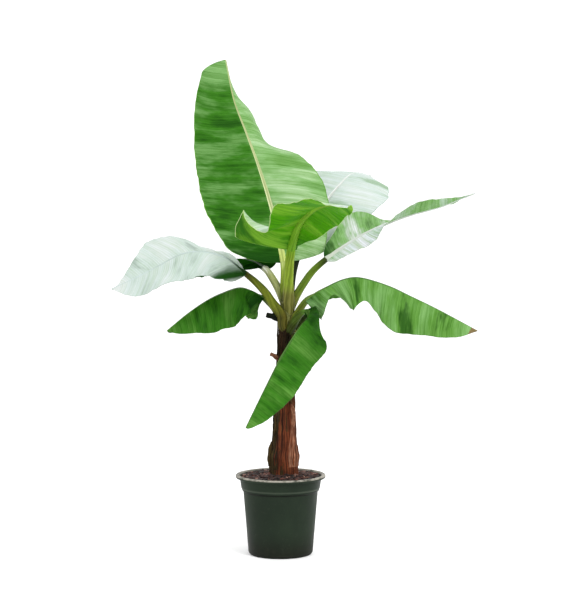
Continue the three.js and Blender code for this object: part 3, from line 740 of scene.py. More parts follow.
print(len(stalk_finish), "stalk finishes and", len(midrib_finish), "midrib finishes")

# %% [markdown]
# ## Leaf blades
#
# One blade is a long grid of rows. A row runs over the upper side from the left margin
# across the midrib to the right margin and back along the underside, so the blade is a
# closed skin about a millimetre and a half thick. Each half follows an arc from its
# angle at the midrib to its angle at the margin. Three kinds of movement are added: the
# slow waves of the solid, folds that follow the side veins, and a finer flutter that
# grows towards the margin.

# %% Rounding, rows and columns of a blade
BLADE_ROWS = 230
HALF_COLUMNS = 22
RIB_POINTS = 9
MARGIN_SHARE = 0.986
# How far the veins sweep towards the tip per length across, on the left and right halves
VEIN_SWEEP = {"tall": (0.36, -0.38), "left": (0.7, 0.3), "low_right": (0.3, 0.35), "low_left": (0.5, 0.3)}
OTHER_SWEEP = (0.2, 0.2)


def rounded_ends(t, ends):
    foot, tip = ends
    at_foot = np.sqrt(np.clip(1 - (1 - np.minimum(t / foot, 1)) ** 2, 0, 1))
    at_tip = np.sqrt(np.clip(1 - (1 - np.minimum((1 - t) / tip, 1)) ** 2, 0, 1))
    return at_foot * at_tip


def blade_shares():
    even = np.linspace(0.0, 1.0, BLADE_ROWS)
    return even - 0.08 * np.sin(2 * np.pi * even)


across_shares = np.concatenate([np.linspace(0.0, MARGIN_SHARE, HALF_COLUMNS)[1:], [1.0]])
print("a blade has", BLADE_ROWS, "rows of", 2 * (2 * HALF_COLUMNS + RIB_POINTS), "points")

# %% Folds along the veins and flutter at the margin
FOLD_HEIGHT = {"low_right": 3.4, "low_left": 4.2, "left": 1.8, "front": 2.2, "tall": 1.1}
OTHER_HEIGHT = 1.6
# Lengths of the waves in millimetres
FOLD_WAVE, PLEAT_WAVE, FLUTTER_WAVE, QUIVER_WAVE = 34.0, 13.0, 47.0, 21.0


def wave(place, length, phase):
    return np.sin(2 * np.pi * place / length + phase)


def blade_relief(name, seed, q, along, vein_way):
    rng = np.random.default_rng(seed)
    height = FOLD_HEIGHT.get(name, OTHER_HEIGHT)
    phase = rng.uniform(0, 2 * np.pi, 6)
    fold = wave(vein_way, FOLD_WAVE, phase[0] + 1.2 * np.sin(along / 70.0 + phase[1]))
    pleat = wave(vein_way, PLEAT_WAVE, phase[2])
    flutter = wave(along, FLUTTER_WAVE, phase[3]) + 0.5 * wave(along, QUIVER_WAVE, phase[4])
    cloud = np.sin(along / 38.0 + phase[5]) * np.sin(q * 5.0 + phase[0])
    folded = 0.55 * fold * q ** 0.7 * (1 - 0.35 * q) + 0.12 * pleat + 0.3 * cloud * q
    return height * folded + 0.7 * flutter * q ** 4

# %% One half of a blade as arrays of middle points
def half_blade(name, leaf, shape, sign, t, frames, rib_half, length):
    at, along_way, up, left = frames
    letters = sum(map(ord, name))
    rng = np.random.default_rng(letters + (7 if sign > 0 else 3))
    uneven = 1 + 0.005 * np.sin(2 * np.pi * 9.0 * t + rng.uniform(0, 6))
    uneven = uneven + 0.003 * np.sin(2 * np.pi * 23.0 * t)
    width = list_at(shape["width"], t) * rounded_ends(t, shape["ends"]) * uneven
    width = np.maximum(rib_half + 1.0, width)
    root, edge, lean = (np.radians(list_at(shape[key], t)) for key in ("root", "edge", "lean"))
    lean = lean * np.minimum(1.0, t / 0.07)
    across = left * sign
    side = across * np.cos(lean)[:, None] + along_way * np.sin(lean)[:, None]
    place = at + across * rib_half[:, None]
    reach = width - rib_half
    points, outward, done = [], [], 0.0
    for q in across_shares:
        angle = root + (edge - root) * ((q + done) / 2) ** shape["late"]
        step = (reach * (q - done))[:, None]
        place = place + side * np.cos(angle)[:, None] * step - up * np.sin(angle)[:, None] * step
        points.append(place)
        outward.append(up * np.cos(angle)[:, None] + side * np.sin(angle)[:, None])
        done = q
    points, outward = np.stack(points, axis=1), np.stack(outward, axis=1)
    q = across_shares[None, :]
    along = (t * length)[:, None]
    distance = rib_half[:, None] + reach[:, None] * q
    sweep = VEIN_SWEEP.get(name, OTHER_SWEEP)[0 if sign > 0 else 1]
    vein_way = along + distance * np.sin(lean)[:, None] - sweep * distance * (0.6 + 0.4 * q)
    ripple = leaf["swell"] * q ** 2 * np.sin(2 * np.pi * leaf["waves"] * t[:, None] + sign)
    ends = np.minimum(1.0, np.minimum(t / 0.05, (1 - t) / 0.05))[:, None]
    relief = blade_relief(name, letters + (11 if sign > 0 else 5), q, along, vein_way)
    points = points + outward * (ripple + relief * ends)[..., None]
    return points, outward, side_by_side(vein_way, sign * distance), side_by_side(t[:, None], sign * q)

# %% The midrib's section
def rib_section(t, frames, rib_half, length):
    at, _, up, left = frames
    place = np.linspace(1.0, -1.0, RIB_POINTS)[None, :]
    round_top = np.sqrt(np.maximum(0.0, 1 - place ** 2))
    blend = smooth_step(0.0, 0.09, t)[:, None]
    half = rib_half[:, None]
    stalk_top = half * round_top * (1 - 0.35 * round_top ** 6)
    blade_top = 0.9 - 0.42 * half * round_top
    top = stalk_top * (1 - blend) + blade_top * blend
    keel = -(half * round_top * (1 + 0.25 * blend) + 0.7)
    narrow = half * place * (1 - 0.3 * blend * (np.abs(place) < 0.99))
    upper = at[:, None] + left[:, None] * (half * place)[..., None] + up[:, None] * top[..., None]
    under = at[:, None] + left[:, None] * narrow[..., None] + up[:, None] * keel[..., None]
    return upper, under, side_by_side((t * length)[:, None], half * place)

# %% A whole blade
LEFT, RIGHT, UNDER, RIB, MARGIN, TIP = range(6)
DRY_TIP_FROM = 0.965


def make_blade(name):
    leaf, limb = LEAVES[name], limbs[name]
    t = blade_shares()
    start = leaf["blade"]
    frames = limb.at(start + (1 - start) * t)
    length = limb.length * (1 - start)
    rib_half = 1.5 + (leaf["stalk"][1] - 1.5) * (1 - t) ** 1.8
    rib_up, rib_down, rib_way = rib_section(t, frames, rib_half, length)
    rib_row = side_by_side(t[:, None], np.zeros((1, RIB_POINTS)))
    thick = (0.75 - 0.35 * across_shares)[None, :, None]
    halves = []
    for side, sign in (("left", 1), ("right", -1)):
        middle, outward, way, row = half_blade(name, leaf, leaf[side], sign, t, frames, rib_half, length)
        parts = (middle + outward * thick, middle - outward * thick, way, row)
        halves.append([part[:, ::-sign] for part in parts])
    upper, under, way, row = (
        np.concatenate([left, rib, right], axis=1)
        for left, rib, right in zip(halves[0], (rib_up, rib_down, rib_way, rib_row), halves[1]))
    points = np.concatenate([upper, under[:, ::-1]], axis=1)
    way, row = (np.concatenate([part, part[:, ::-1]], axis=1).reshape(-1, 2) for part in (way, row))
    rows, count = points.shape[:2]
    numbers = np.tile(side_numbers(count), rows - 1)
    if name == "low_right":
        numbers[np.repeat(t[:-1], count) > DRY_TIP_FROM] = TIP
    caps = end_caps(rows, count)
    numbers = np.concatenate([numbers, np.full(len(caps), MARGIN)])
    materials = [leaf_finish[name, side] for side in ("left", "right", "under")]
    materials += [midrib_finish[name], margin_finish[name], tip_finish]
    faces = np.vstack([ring_faces(rows, count), caps]).tolist()
    make_piece(f"blade_{name}", points.reshape(-1, 3), faces, materials, way, f"leaf_{name}",
               numbers, row)


def side_numbers(count):
    k = np.arange(count // 2)
    upper = np.where(k < HALF_COLUMNS, LEFT, np.where(k < HALF_COLUMNS + RIB_POINTS - 1, RIB, RIGHT))
    under = np.where(upper == RIB, RIB, UNDER)
    for side in (upper, under):
        side[[0, -2, -1]] = MARGIN
    return np.concatenate([upper, under[:-1][::-1], [MARGIN]])


def end_caps(rows, count):
    k = np.arange(count // 2 - 1)
    opposite = count - 1 - k
    last = (rows - 1) * count
    foot = np.stack([k + 1, k, opposite, opposite - 1], axis=1)
    tip = np.stack([last + k, last + k + 1, last + opposite - 1, last + opposite], axis=1)
    return np.vstack([foot, tip])


for name in LEAVES:
    make_blade(name)

# %% [markdown]
# ## Leaf stalks
#
# A stalk is a firm half round with a channel along its upper side. It grows out of the
# sheath that wraps the stem and thins only a little towards the blade. The same section
# runs on through both pieces, so the skin looks unbroken where stalk and sheath meet.

# %% Stalks
STALK_SIDES = 28
STALK_ROWS = 46
OVERLAP = 0.004


def stalk_rings(limb, shares, radii):
    at, _, up, left = limb.at(shares)
    turn = turns_of(STALK_SIDES)
    channel = 1 - 0.35 * np.maximum(0, np.cos(turn)) ** 6
    ribbed = 1 + 0.012 * np.cos(9 * turn)
    size = np.asarray(radii)[:, None] * ribbed
    rings = at[:, None] + up[:, None] * (size * channel * np.cos(turn))[..., None]
    rings = rings - left[:, None] * (size * np.sin(turn))[..., None]
    return rings, side_by_side((shares * limb.length)[:, None], size * turn)


for name, leaf in LEAVES.items():
    shares = np.linspace(leaf["sheath"], leaf["blade"] + OVERLAP, STALK_ROWS)
    thick, thin = leaf["stalk"]
    radii = thick + (thin - thick) * np.linspace(0, 1, STALK_ROWS)
    skin_piece(f"petiole_{name}", *stalk_rings(limbs[name], shares, radii), stalk_finish[name],
               f"stalk_{name}", "leaf_stalk")

# %% [markdown]
# ## The stem
#
# The stem of a banana plant isn't wood. It is a roll of leaf sheaths, and the outer ones
# die, dry and split into brown fibres. One way is a single rough cylinder, but it never
# shows edges. Here a grooved core keeps the stem's true width, and separate dry sheaths
# lie over it like torn paper: each is a tongue that narrows upward, stands off a little
# at its free edges and ends ragged.

# %% Dry sheath finishes
# Lengths along the stem in metres: where it begins to darken and where the green crown is
DARK_FOOT, CROWN_FOOT, CROWN_TOP = 0.47, 0.596, 0.634


def dry_finish(name, ground, light, dark, crown=True):
    material, n, shader = new_material(name)
    way = lengths(n)
    lines = n.group(fibres, Way=way, Across=900.0, Along=10.0)
    broad = n.group(fibres, Way=way, Across=240.0, Along=5.0)
    clouds = n.group(mottling, Place=object_place(n), Scale=34.0)
    ground, light, dark = screen(*ground), screen(*light), screen(*dark)
    colour = n.lay(ground, light, lines["Fibre"], 0.42, 0.72)
    colour = n.lay(colour, light, broad["Fibre"], 0.5, 0.66, 0.7)
    colour = n.lay(colour, dark, broad["Fibre"], 0.5, 0.36, 0.85)
    colour = n.mix(lines["Groove"], colour, dark)
    colour = n.mix(n.times(clouds["Cloud"], 0.5), colour, dark)
    if crown:
        height = n.plus(n.split(way)[0], n.times(lines["Fibre"], 0.03))
        colour = n.lay(colour, screen(34, 26, 10), height, DARK_FOOT, CROWN_FOOT, 0.7)
        living = n.lay(screen(58, 58, 18), screen(172, 176, 104), lines["Fibre"], 0.4, 0.62)
        living = n.lay(living, screen(40, 36, 10), broad["Fibre"], 0.48, 0.36, 0.8)
        living = n.mix(lines["Groove"], living, screen(34, 30, 10))
        colour = n.lay(colour, living, height, CROWN_FOOT + 0.015, CROWN_TOP + 0.015)
    roughness = n.spread(lines["Fibre"], 0.2, 0.8, 0.62, 0.9)
    end_material(n, shader, colour, roughness, 0.12, (lines["Height"], 0.9, 0.0016))
    return material


core_finish = dry_finish("stem_core", (64, 38, 16), (132, 86, 48), (18, 9, 3))
# Most tongues at the right and front take the rust and tan finishes and those at the left the umber one,
# so their tones are partly the sheaths' own and partly painted light from the right
sheath_finish = [
    dry_finish("sheath_rust", (86, 36, 15), (172, 94, 56), (20, 7, 2)),
    dry_finish("sheath_umber", (56, 40, 17), (120, 98, 52), (12, 8, 3)),
    dry_finish("sheath_tan", (140, 80, 54), (214, 158, 124), (50, 22, 10)),
    # This near-black finish is painted shade, for the curled sheath end at the left that sits in shadow
    # under the low leaves
    dry_finish("sheath_in_painted_shade", (16, 24, 10), (40, 48, 26), (6, 8, 3), crown=False),
    dry_finish("sheath_green", (44, 66, 20), (112, 132, 60), (14, 26, 6), crown=False),
]
print("dry finishes:", len(sheath_finish) + 1)

# %% Core of the stem
# Height, middle in x and y, and radius at each station of the stem
STEM_STATIONS = [
    (209.3, 9, 0, 42), (216, 9, 0, 38.5), (240, 9, 0, 36.5), (262, 9, 0, 38), (284, 10, 0, 33),
    (330, 11, 0, 31), (400, 11, 0, 27), (480, 10, 0, 23), (550, 11, 0, 21), (610, 14, 0, 23),
    (645, 17, 0, 23), (685, 18, 0, 15),
]
STEM_ROWS, STEM_COLUMNS = 300, 128
# Length round the stem for each radian, and how deep the core lies under the sheaths
STEM_GIRTH, CORE_DEPTH = 30.0, -3.2


def stem_at(z):
    table = np.array(STEM_STATIONS, dtype=float)
    return [np.interp(z, table[:, 0], table[:, k]) for k in (1, 2, 3)]


def stem_surface(z, turn, lift):
    x, y, r = stem_at(z)
    relief = 1 + 0.05 * np.cos(5 * turn + z / 90.0)
    rough = 0.55 * np.sin(23 * turn + z / 31.0 + 1.5 * np.sin(z / 47.0))
    rough = rough + 0.4 * np.sin(41 * turn - z / 19.0)
    rough = rough + 0.8 * np.sin(7 * turn + z / 24.0 + 2.0 * np.sin(turn + z / 60.0))
    radius = r * relief + rough + lift
    return side_by_side(x + radius * np.cos(turn), y + radius * np.sin(turn), z)


z_rows = np.linspace(STEM_STATIONS[0][0], STEM_STATIONS[-1][0], STEM_ROWS)[:, None]
turns = turns_of(STEM_COLUMNS)
core = stem_surface(z_rows, turns, CORE_DEPTH)
skin_piece("stem_core", core, side_by_side(z_rows, STEM_GIRTH * turns), core_finish, "stem", "stem")

# %% Tongues of dry sheath
# Foot and top height, middle of the tongue in degrees (270 faces the front), half span
# in degrees at the foot, lift off the core in millimetres, and which finish it has
TONGUES = [
    (209, 330, 250, 100, 1.0, 1), (209, 300, 20, 95, 1.8, 0), (209, 318, 140, 90, 1.4, 0),
    (214, 400, 300, 70, 2.6, 0), (212, 372, 200, 70, 2.4, 1), (216, 420, 80, 85, 2.2, 1),
    (240, 455, 272, 46, 3.2, 0), (262, 440, 340, 60, 2.8, 0), (236, 392, 318, 30, 3.6, 2),
    (230, 330, 215, 30, 3.4, 1), (300, 520, 120, 70, 2.4, 1), (330, 540, 220, 62, 2.6, 1),
    (352, 560, 10, 70, 2.2, 1), (390, 582, 290, 60, 2.4, 1), (420, 604, 180, 70, 2.0, 1),
    (470, 628, 60, 75, 1.8, 1), (500, 640, 320, 62, 1.6, 1),
]
TONGUE_ROWS, TONGUE_COLUMNS = 76, 36
TONGUE_THICKNESS = 0.9


def tongue(foot, top, middle, half_span, lift, seed):
    rng = np.random.default_rng(seed)
    s = np.linspace(0, 1, TONGUE_ROWS)[:, None]
    c = np.linspace(-1, 1, TONGUE_COLUMNS)[None, :]
    narrow = (1 - s ** 1.6) * 0.86 + 0.14
    wave = 0.06 * np.sin(9 * s + rng.uniform(0, 6)) + 0.03 * np.sin(31 * s + rng.uniform(0, 6))
    turn = np.radians(middle) + np.radians(half_span) * narrow * (c + wave * np.abs(c))
    torn = 0.06 * np.sin(13 * c + rng.uniform(0, 6)) + 0.05 * np.sin(29 * c + rng.uniform(0, 6))
    z = foot + (top - foot) * s * (1 + torn * s ** 3)
    tip_curl = 2.0 * smooth_step(0.82, 1.0, s) * (0.5 + 0.5 * np.sin(3 * c + seed))
    curl = 0.6 * np.abs(c) ** 6 + tip_curl - 2.5
    crease = 0.5 * np.sin(17 * c + 2.0 * s + seed) * (1 - np.abs(c) ** 4)
    outer = stem_surface(z, turn, lift + curl + crease)
    inner = stem_surface(z, turn, lift + curl + crease - TONGUE_THICKNESS)
    way = side_by_side(z, STEM_GIRTH * turn)
    return [np.concatenate([grid, back[:, ::-1]], axis=1) for grid, back in ((outer, inner), (way, way))]


def strip_piece(name, parts, materials, numbers, node):
    points, faces, ways, face_numbers, base = [], [], [], [], 0
    for (rings, way), number in zip(parts, numbers):
        rows, count = rings.shape[:2]
        skin = np.vstack([ring_faces(rows, count), end_caps(rows, count)])
        points.append(rings.reshape(-1, 3))
        ways.append(way.reshape(-1, 2))
        faces.append(skin + base)
        face_numbers.append(np.full(len(skin), number))
        base += rows * count
    make_piece(name, np.vstack(points), np.vstack(faces).tolist(), materials, np.vstack(ways),
               node, np.concatenate(face_numbers))


tongues = [tongue(*row[:5], seed) for seed, row in enumerate(TONGUES)]
strip_piece("stem_sheaths", tongues, sheath_finish, [row[5] for row in TONGUES], "stem")

# %% [markdown]
# Some sheath ends stand well clear of the stem: a cut stub at the left, a peeling strip at
# the front and loose husks lower down. They are short curled limbs of their own, crumpled
# like dry paper, and they keep the places of the solid ones.

# %% Standing sheath ends
# The points of each end, its radii at the foot and the tip, and which finish it has
SHEATH_ENDS = {
    "left_stub": ([[2, -6, 515], [-14, -12, 529], [-27, -14, 536]], (9, 4.5), 2),
    "left_curl": ([[4, -6, 626], [-14, -10, 634], [-28, -12, 637], [-38, -12, 640]], (13, 6), 3),
    "right_curl": ([[26, -4, 584], [42, -6, 606], [54, -6, 620], [66, -6, 640]], (9, 8), 4),
    "front_peel": ([[22, -17, 408], [34, -22, 378], [32, -22, 342]], (7, 6), 2),
    "left_peel": ([[-20, -6, 300], [-28, -8, 268], [-26, -6, 236]], (7, 8), 1),
    "right_peel": ([[36, 2, 300], [44, 4, 264], [42, 4, 236]], (6, 7), 0),
    "back_peel": ([[4, 20, 430], [-2, 27, 396], [-4, 30, 350]], (7, 6), 1),
}
HUSK_ROWS = 40


def husk(line, radii, seed):
    limb = Limb(line, [[0, -1, 0.2], [0, -1, 0.2]])
    shares = np.linspace(0, 1, HUSK_ROWS)
    size = radii[0] + (radii[1] - radii[0]) * shares
    size = size * (0.92 + 0.08 * np.sin(14 * shares + seed))
    rings, way = stalk_rings(limb, shares, size)
    turn, down = turns_of(STALK_SIDES), shares[:, None]
    centre = rings.mean(axis=1, keepdims=True)
    crumple = 1 + 0.1 * np.sin(7 * turn + 6 * down + seed) + 0.05 * np.sin(13 * turn - 11 * down)
    return centre + (rings - centre) * crumple[..., None], way


for seed, (label, (line, radii, number)) in enumerate(SHEATH_ENDS.items()):
    skin_piece(f"husk_{label}", *husk(line, radii, seed), sheath_finish[number], "stem", "stem")

# %% [markdown]
# At the crown every stalk starts as a sheath round the next younger one. These sheath tops
# are wider at the foot, run on down the stem while they sink into it, and turn from brown
# to olive green.

# %% Sheath tops at the crown
# How far a sheath runs on down, how much it leans to the stem and thins on the way
ROOT_LENGTH, ROOT_PULL, ROOT_THINNING, ROOT_ROWS = 54.0, 0.25, 0.3, 16
CROWN_AXIS = 14.0
TOP_ROWS = 36


def rooted(limb, rings, way):
    s = np.linspace(1, 0, ROOT_ROWS, endpoint=False)[:, None]
    centre, along = rings[0].mean(axis=0), limb.at([0.0])[1][0]
    to_axis = np.array([CROWN_AXIS - centre[0], -centre[1], 0.0])
    places = centre - along * ROOT_LENGTH * s + to_axis * ROOT_PULL * s ** 2
    roots = places[:, None] + (rings[0] - centre) * (1 - ROOT_THINNING * s[..., None])
    drop = np.concatenate([ROOT_LENGTH * s, 0 * s], axis=1)
    return np.concatenate([roots, rings]), np.concatenate([way[0] - drop[:, None], way])


for name, leaf in LEAVES.items():
    shares = np.linspace(0.0, leaf["sheath"] + 0.002, TOP_ROWS)
    radii = leaf["stalk"][0] * np.linspace(1.25, 1.0, TOP_ROWS)
    rings, way = rooted(limbs[name], *stalk_rings(limbs[name], shares, radii))
    skin_piece(f"sheath_top_{name}", rings, way, stalk_finish[name], "stem", "stem")

# %% [markdown]
# ## The pot
#
# The pot is moulded from thin dark plastic: a tapered wall, a collar that stands out a
# little above a step, and a flat lip that juts out over it. A profile turned about the z
# axis gives it, with every edge rounded by small arcs, because a moulded edge always
# catches a thin line of light.

# %% Turned shapes with rounded corners
POT_COLUMNS = 144


def rounded_profile(corners, bends=4):
    line = [np.array(corners[0][:2], dtype=float)]
    for before, corner, after in zip(corners, corners[1:], corners[2:]):
        p, radius = np.array(corner[:2], dtype=float), corner[2]
        ways = [np.array(q[:2], dtype=float) - p for q in (before, after)]
        a, b = (p + w / np.linalg.norm(w) * min(radius, np.linalg.norm(w) * 0.45) for w in ways)
        for k in range(bends + 1):
            s = k / bends
            line.append((1 - s) ** 2 * a + 2 * s * (1 - s) * p + s * s * b)
    return np.array(line + [np.array(corners[-1][:2], dtype=float)])


def turned_rings(profile):
    turn = turns_of(POT_COLUMNS)
    radius, height = profile[:, :1], profile[:, 1:]
    rings = side_by_side(radius * np.cos(turn), radius * np.sin(turn), height)
    steps = np.linalg.norm(np.diff(profile, axis=0), axis=1)
    return rings, side_by_side(np.concatenate([[0], np.cumsum(steps)])[:, None], 100 * turn)


print("a round shape has", POT_COLUMNS, "points in each ring")

# %% Moulded plastic
# Bands on the wall as heights in metres, from where each begins to where it ends: the
# painted shade in the step, and the painted highlights on the collar's edge and on the lip
PAINTED_STEP_SHADE = (0.1660, 0.1690, 0.1705, 0.1735)
COLLAR_HIGHLIGHT = (0.1745, 0.1768, 0.1785, 0.1815)
LIP_HIGHLIGHT = (0.2080, 0.2110)


def wall_band(n, height, band):
    begins, full, fades, ends = band
    return n.times(n.spread(height, begins, full), n.spread(height, ends, fades))


def plastic_finish():
    material, n, shader = new_material("moulded_plastic")
    place = object_place(n)
    clouds = n.group(mottling, Place=place, Scale=9.0)
    height = n.split(place)[2]
    dust = n.times(n.spread(height, 0.10, 0.0), n.noise(place, 60.0, 5.0, 0.7))
    scuff = n.group(fibres, Way=lengths(n), Across=60.0, Along=700.0)
    colour = n.mix(n.times(clouds["Cloud"], 0.5), screen(34, 45, 34), screen(48, 62, 46))
    lip_highlight = n.times(n.spread(height, *LIP_HIGHLIGHT), n.spread(n.noise(place, 46.0, 4.0, 0.7), 0.3, 0.6))
    # The step's band is painted shade; the collar's edge and the lip's band, broken up by noise, are
    # painted highlights
    for mask, tone in (
            (n.spread(height, 0.08, 0.0, 0.0, 0.7), (26, 25, 21)),
            (n.times(clouds["Speck"], 0.12), (70, 74, 62)),
            (n.spread(dust, 0.3, 0.75, 0.0, 0.2), (64, 60, 48)),
            (n.spread(scuff["Fibre"], 0.64, 0.76, 0.0, 0.12), (70, 76, 68)),
            (n.times(wall_band(n, height, PAINTED_STEP_SHADE), 0.8), (14, 17, 12)),
            (n.times(wall_band(n, height, COLLAR_HIGHLIGHT), 0.5), (82, 92, 78)),
            (n.times(lip_highlight, 0.95), (186, 180, 168))):
        colour = n.mix(mask, colour, screen(*tone))
    roughness = n.spread(clouds["Cloud"], 0.0, 1.0, 0.4, 0.52)
    end_material(n, shader, colour, roughness, 0.07, (n.noise(place, 420.0, 3.0), 0.12, 0.0005))
    return material

# %% The pot's wall, collar and lip
# Radius and height of each corner, and how far its edge is rounded
POT_PROFILE = [
    (0.01, 0, 0), (81, 0, 2), (86, 5, 5), (99.4, 168, 1.5), (100, 169.4, 1), (102.8, 171.2, 1.2),
    (103.1, 175.2, 1.2), (105, 177.2, 1.5), (108.8, 203.4, 1.5), (111, 204, 1.2), (118.4, 204.3, 1.5),
    (120, 206.4, 2), (120, 210.8, 3), (118, 213, 2.5), (111.2, 213, 2.5), (109.2, 210.8, 2.5),
    (106.2, 204, 4), (101.9, 177, 4), (96.4, 169, 4), (79.7, 4, 3), (0.01, 4, 0),
]
wall, wall_way = turned_rings(rounded_profile(POT_PROFILE))
skin_piece("pot_wall", wall, wall_way, plastic_finish(), "pot", "pot")

# %% [markdown]
# ## Bark chips
#
# The pot is filled with coarse bark. Its body can stay one turned shape with an uneven
# top, but the surface has to be real chips, since their shadows are what the eye reads as
# bark. Each chip is a small bent slab with broken ends. More than a thousand lie flat or
# tilted, heaped against the stem, and are joined by colour into a few meshes.

# %% Finish of the mix and its chips
def bark_finish(name, ground, light, dark):
    material, n, shader = new_material(name)
    place = object_place(n)
    clouds = n.group(mottling, Place=place, Scale=90.0)
    grain = n.noise(place, 300.0, 5.0, 0.7)
    colour = n.lay(screen(*dark), screen(*ground), grain, 0.35, 0.68)
    colour = n.mix(n.times(clouds["Cloud"], 0.5), colour, screen(*light))
    end_material(n, shader, colour, n.spread(grain, 0.2, 0.8, 0.72, 0.95), relief=(grain, 0.8, 0.0012))
    return material


fill_finish = bark_finish("damp_mix", (40, 20, 12), (56, 30, 20), (14, 7, 4))
CHIP_COLOURS = {
    "dark": ((38, 16, 11), (56, 27, 20), (12, 5, 4)),
    "rust": ((104, 48, 34), (150, 84, 66), (36, 14, 10)),
    "brown": ((66, 30, 21), (96, 52, 40), (24, 10, 7)),
    "tan": ((160, 112, 94), (208, 164, 146), (84, 44, 34)),
}
CHIP_SHARES = [0.46, 0.18, 0.26, 0.1]
chip_finish = {name: bark_finish(f"bark_{name}", *colours) for name, colours in CHIP_COLOURS.items()}
print(len(chip_finish), "chip finishes")

# %% Body of the mix
MIX_PROFILE = [
    (0.01, 4.3, 0), (79.3, 4.3, 2), (96.0, 169, 4), (101.5, 177, 4), (105.3, 203.4, 1),
    (101, 205.4, 3), (48, 207.5, 20), (30, 208, 4), (0.01, 208, 0),
]
fill, fill_way = turned_rings(rounded_profile(MIX_PROFILE, 6))
x, y, z = np.moveaxis(fill, -1, 0)
on_top = smooth_step(200.0, 204.0, z) * smooth_step(0.0, 30.0, np.hypot(x, y))
fill[..., 2] += on_top * (1.6 * np.sin(x / 7.0) * np.sin(y / 6.0) - 1.0)
skin_piece("mix_body", fill, fill_way, fill_finish, "growing_mix", "growing_mix")

# %% A thousand chips
CHIP_COUNT = 1150
CHIP_GRID = (5, 3)
CHIP_LENGTHS, CHIP_HEIGHTS, CHIP_TILT, CHIP_SEED = (8, 24), (1.8, 4.4), 0.24, 41
# Chips keep inside the rim and out of the stem, and are heaped against its foot
CHIP_REACH, RIM_REACH = 104.0, 104.5
STEM_PLACE, STEM_RADIUS = (9.0, 0.0), 40.0
MIX_LEVEL, HEAP_HEIGHT, HEAP_WIDTH = 206.0, 6.0, 22.0


def chip_mesh(rng, length, width, height):
    a, b = CHIP_GRID
    u, v = np.meshgrid(np.linspace(-1, 1, a), np.linspace(-1, 1, b), indexing="ij")
    narrow = 1 - 0.25 * np.abs(u) ** 2 + rng.uniform(-0.12, 0.12, u.shape)
    x = u * length / 2 + rng.uniform(-0.09, 0.09, u.shape) * length
    y = v * width / 2 * narrow
    bend = rng.uniform(-0.12, 0.2) * length * (1 - u ** 2)
    top = height / 2 * (1 - 0.3 * v ** 2) + rng.uniform(-0.15, 0.15, u.shape) * height
    upper = np.stack([x, y, bend + top], axis=-1)
    under = np.stack([x * 0.94, y * 0.9, bend - top * 0.8], axis=-1)
    return np.concatenate([upper, under[:, ::-1]], axis=1)


def chip_place(rng):
    while True:
        r, turn = CHIP_REACH * math.sqrt(rng.uniform()), rng.uniform(0, 2 * np.pi)
        x, y = r * math.cos(turn), r * math.sin(turn)
        clear = math.hypot(x - STEM_PLACE[0], y - STEM_PLACE[1]) - STEM_RADIUS
        if clear > 2:
            heap = HEAP_HEIGHT * math.exp(-(clear / HEAP_WIDTH) ** 2)
            return x, y, MIX_LEVEL + heap + rng.uniform(0, 3.4) - 2.5 * smooth_step(92.0, CHIP_REACH, r)


def turn_about(axis, angle):
    x, y, z = axis / np.linalg.norm(axis)
    k = np.array([[0, -z, y], [z, 0, -x], [-y, x, 0]])
    return np.eye(3) + math.sin(angle) * k + (1 - math.cos(angle)) * k @ k


def scatter_chips():
    rng = np.random.default_rng(CHIP_SEED)
    kinds = list(CHIP_COLOURS)
    parts = {kind: [] for kind in kinds}
    for _ in range(CHIP_COUNT):
        length = rng.uniform(*CHIP_LENGTHS)
        rings = chip_mesh(rng, length, length * rng.uniform(0.3, 0.6), rng.uniform(*CHIP_HEIGHTS))
        x, y, z = chip_place(rng)
        spin = turn_about(np.array([0, 0, 1.0]), rng.uniform(0, 2 * np.pi))
        tilt = turn_about(np.array([rng.normal(), rng.normal(), 0.1]), abs(rng.normal(0, CHIP_TILT)))
        rings = rings @ (tilt @ spin).T
        reach = np.hypot(rings[..., 0] + x, rings[..., 1] + y).max()
        rings = rings + np.array([x, y, z])
        rings[..., :2] *= min(1.0, RIM_REACH / reach)
        kind = kinds[rng.choice(len(kinds), p=CHIP_SHARES)]
        parts[kind].append((rings, rings[..., :2]))
    return parts


for kind, parts in scatter_chips().items():
    numbers = [0] * len(parts)
    strip_piece(f"chips_{kind}", parts, [chip_finish[kind]], numbers, "growing_mix")

# %% [markdown]
# ## Floor and light
#
# The plant stands in a bright white studio. A wide pale floor that runs back to a pale
# room gives the leaves a white world to mirror, though the near-white of their slanting
# upper sides is painted into their colours. One large soft light from the upper right
# models the stem and the pot, and a weaker one from behind lets the leaf edges stand out.

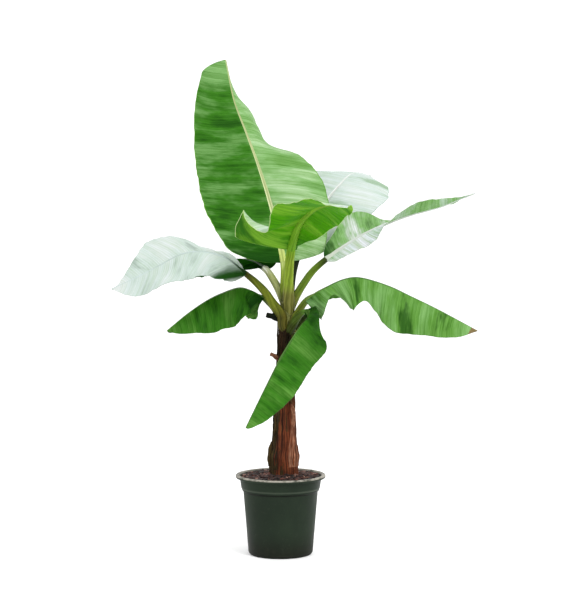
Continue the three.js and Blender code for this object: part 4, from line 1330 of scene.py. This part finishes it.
# %% Pale floor
FLOOR_REACH = 30.0

floor_material, n, shader = new_material("pale_floor")
paint = n.mix(n.noise(object_place(n), 3.0, 2.0), (0.99, 0.99, 0.99, 1.0), (0.97, 0.97, 0.97, 1.0))
end_material(n, shader, paint, n.spread(n.noise(object_place(n), 20.0), 0.3, 0.7, 0.85, 0.95))
floor_mesh = bpy.data.meshes.new("floor")
corners = [(FLOOR_REACH * x, FLOOR_REACH * y, 0) for x, y in ((-1, -1), (1, -1), (1, 1), (-1, 1))]
floor_mesh.from_pydata(corners, [], [(0, 1, 2, 3)])
floor_mesh.materials.append(floor_material)
floor = bpy.data.objects.new("floor", floor_mesh)
bpy.context.scene.collection.objects.link(floor)
floor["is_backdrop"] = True
print("floor is", 2 * FLOOR_REACH, "metres wide")

# %% Soft lights and a white room
KEY_POWER, BACK_POWER, ROOM_STRENGTH = 90.0, 20.0, 1.3


def soft_light(name, place, aim, size, power):
    data = bpy.data.lights.new(name, "AREA")
    data.shape, data.size, data.energy = "DISK", size, power
    light = bpy.data.objects.new(name, data)
    light.location = place
    x, y, z = (end - start for start, end in zip(place, aim))
    light.rotation_euler = (math.atan2(math.hypot(x, y), -z), 0.0, math.atan2(y, x) - math.pi / 2)
    bpy.context.scene.collection.objects.link(light)
    return light


key = soft_light("key_light", (2.0, -2.6, 3.4), (0, 0, 0.7), 1.8, KEY_POWER)
back = soft_light("back_light", (-1.8, 2.6, 2.6), (0, 0, 0.8), 1.6, BACK_POWER)
world = bpy.data.worlds.new("white_room")
world.use_nodes = True
sky = world.node_tree.nodes["Background"]
sky.inputs[0].default_value = (1.0, 1.0, 1.0, 1.0)
sky.inputs[1].default_value = ROOM_STRENGTH
bpy.context.scene.world = world
bpy.context.scene.view_settings.view_transform = "Standard"
print("lights:", key.name, back.name, "and a white room")

# %% Compare the boxes and finish
dressed_box = [list(map(float, corner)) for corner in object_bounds()]
for label, box in (("solids", cad_box), ("dressed", dressed_box)):
    print(label, [round(value, 4) for corner in box for value in corner])
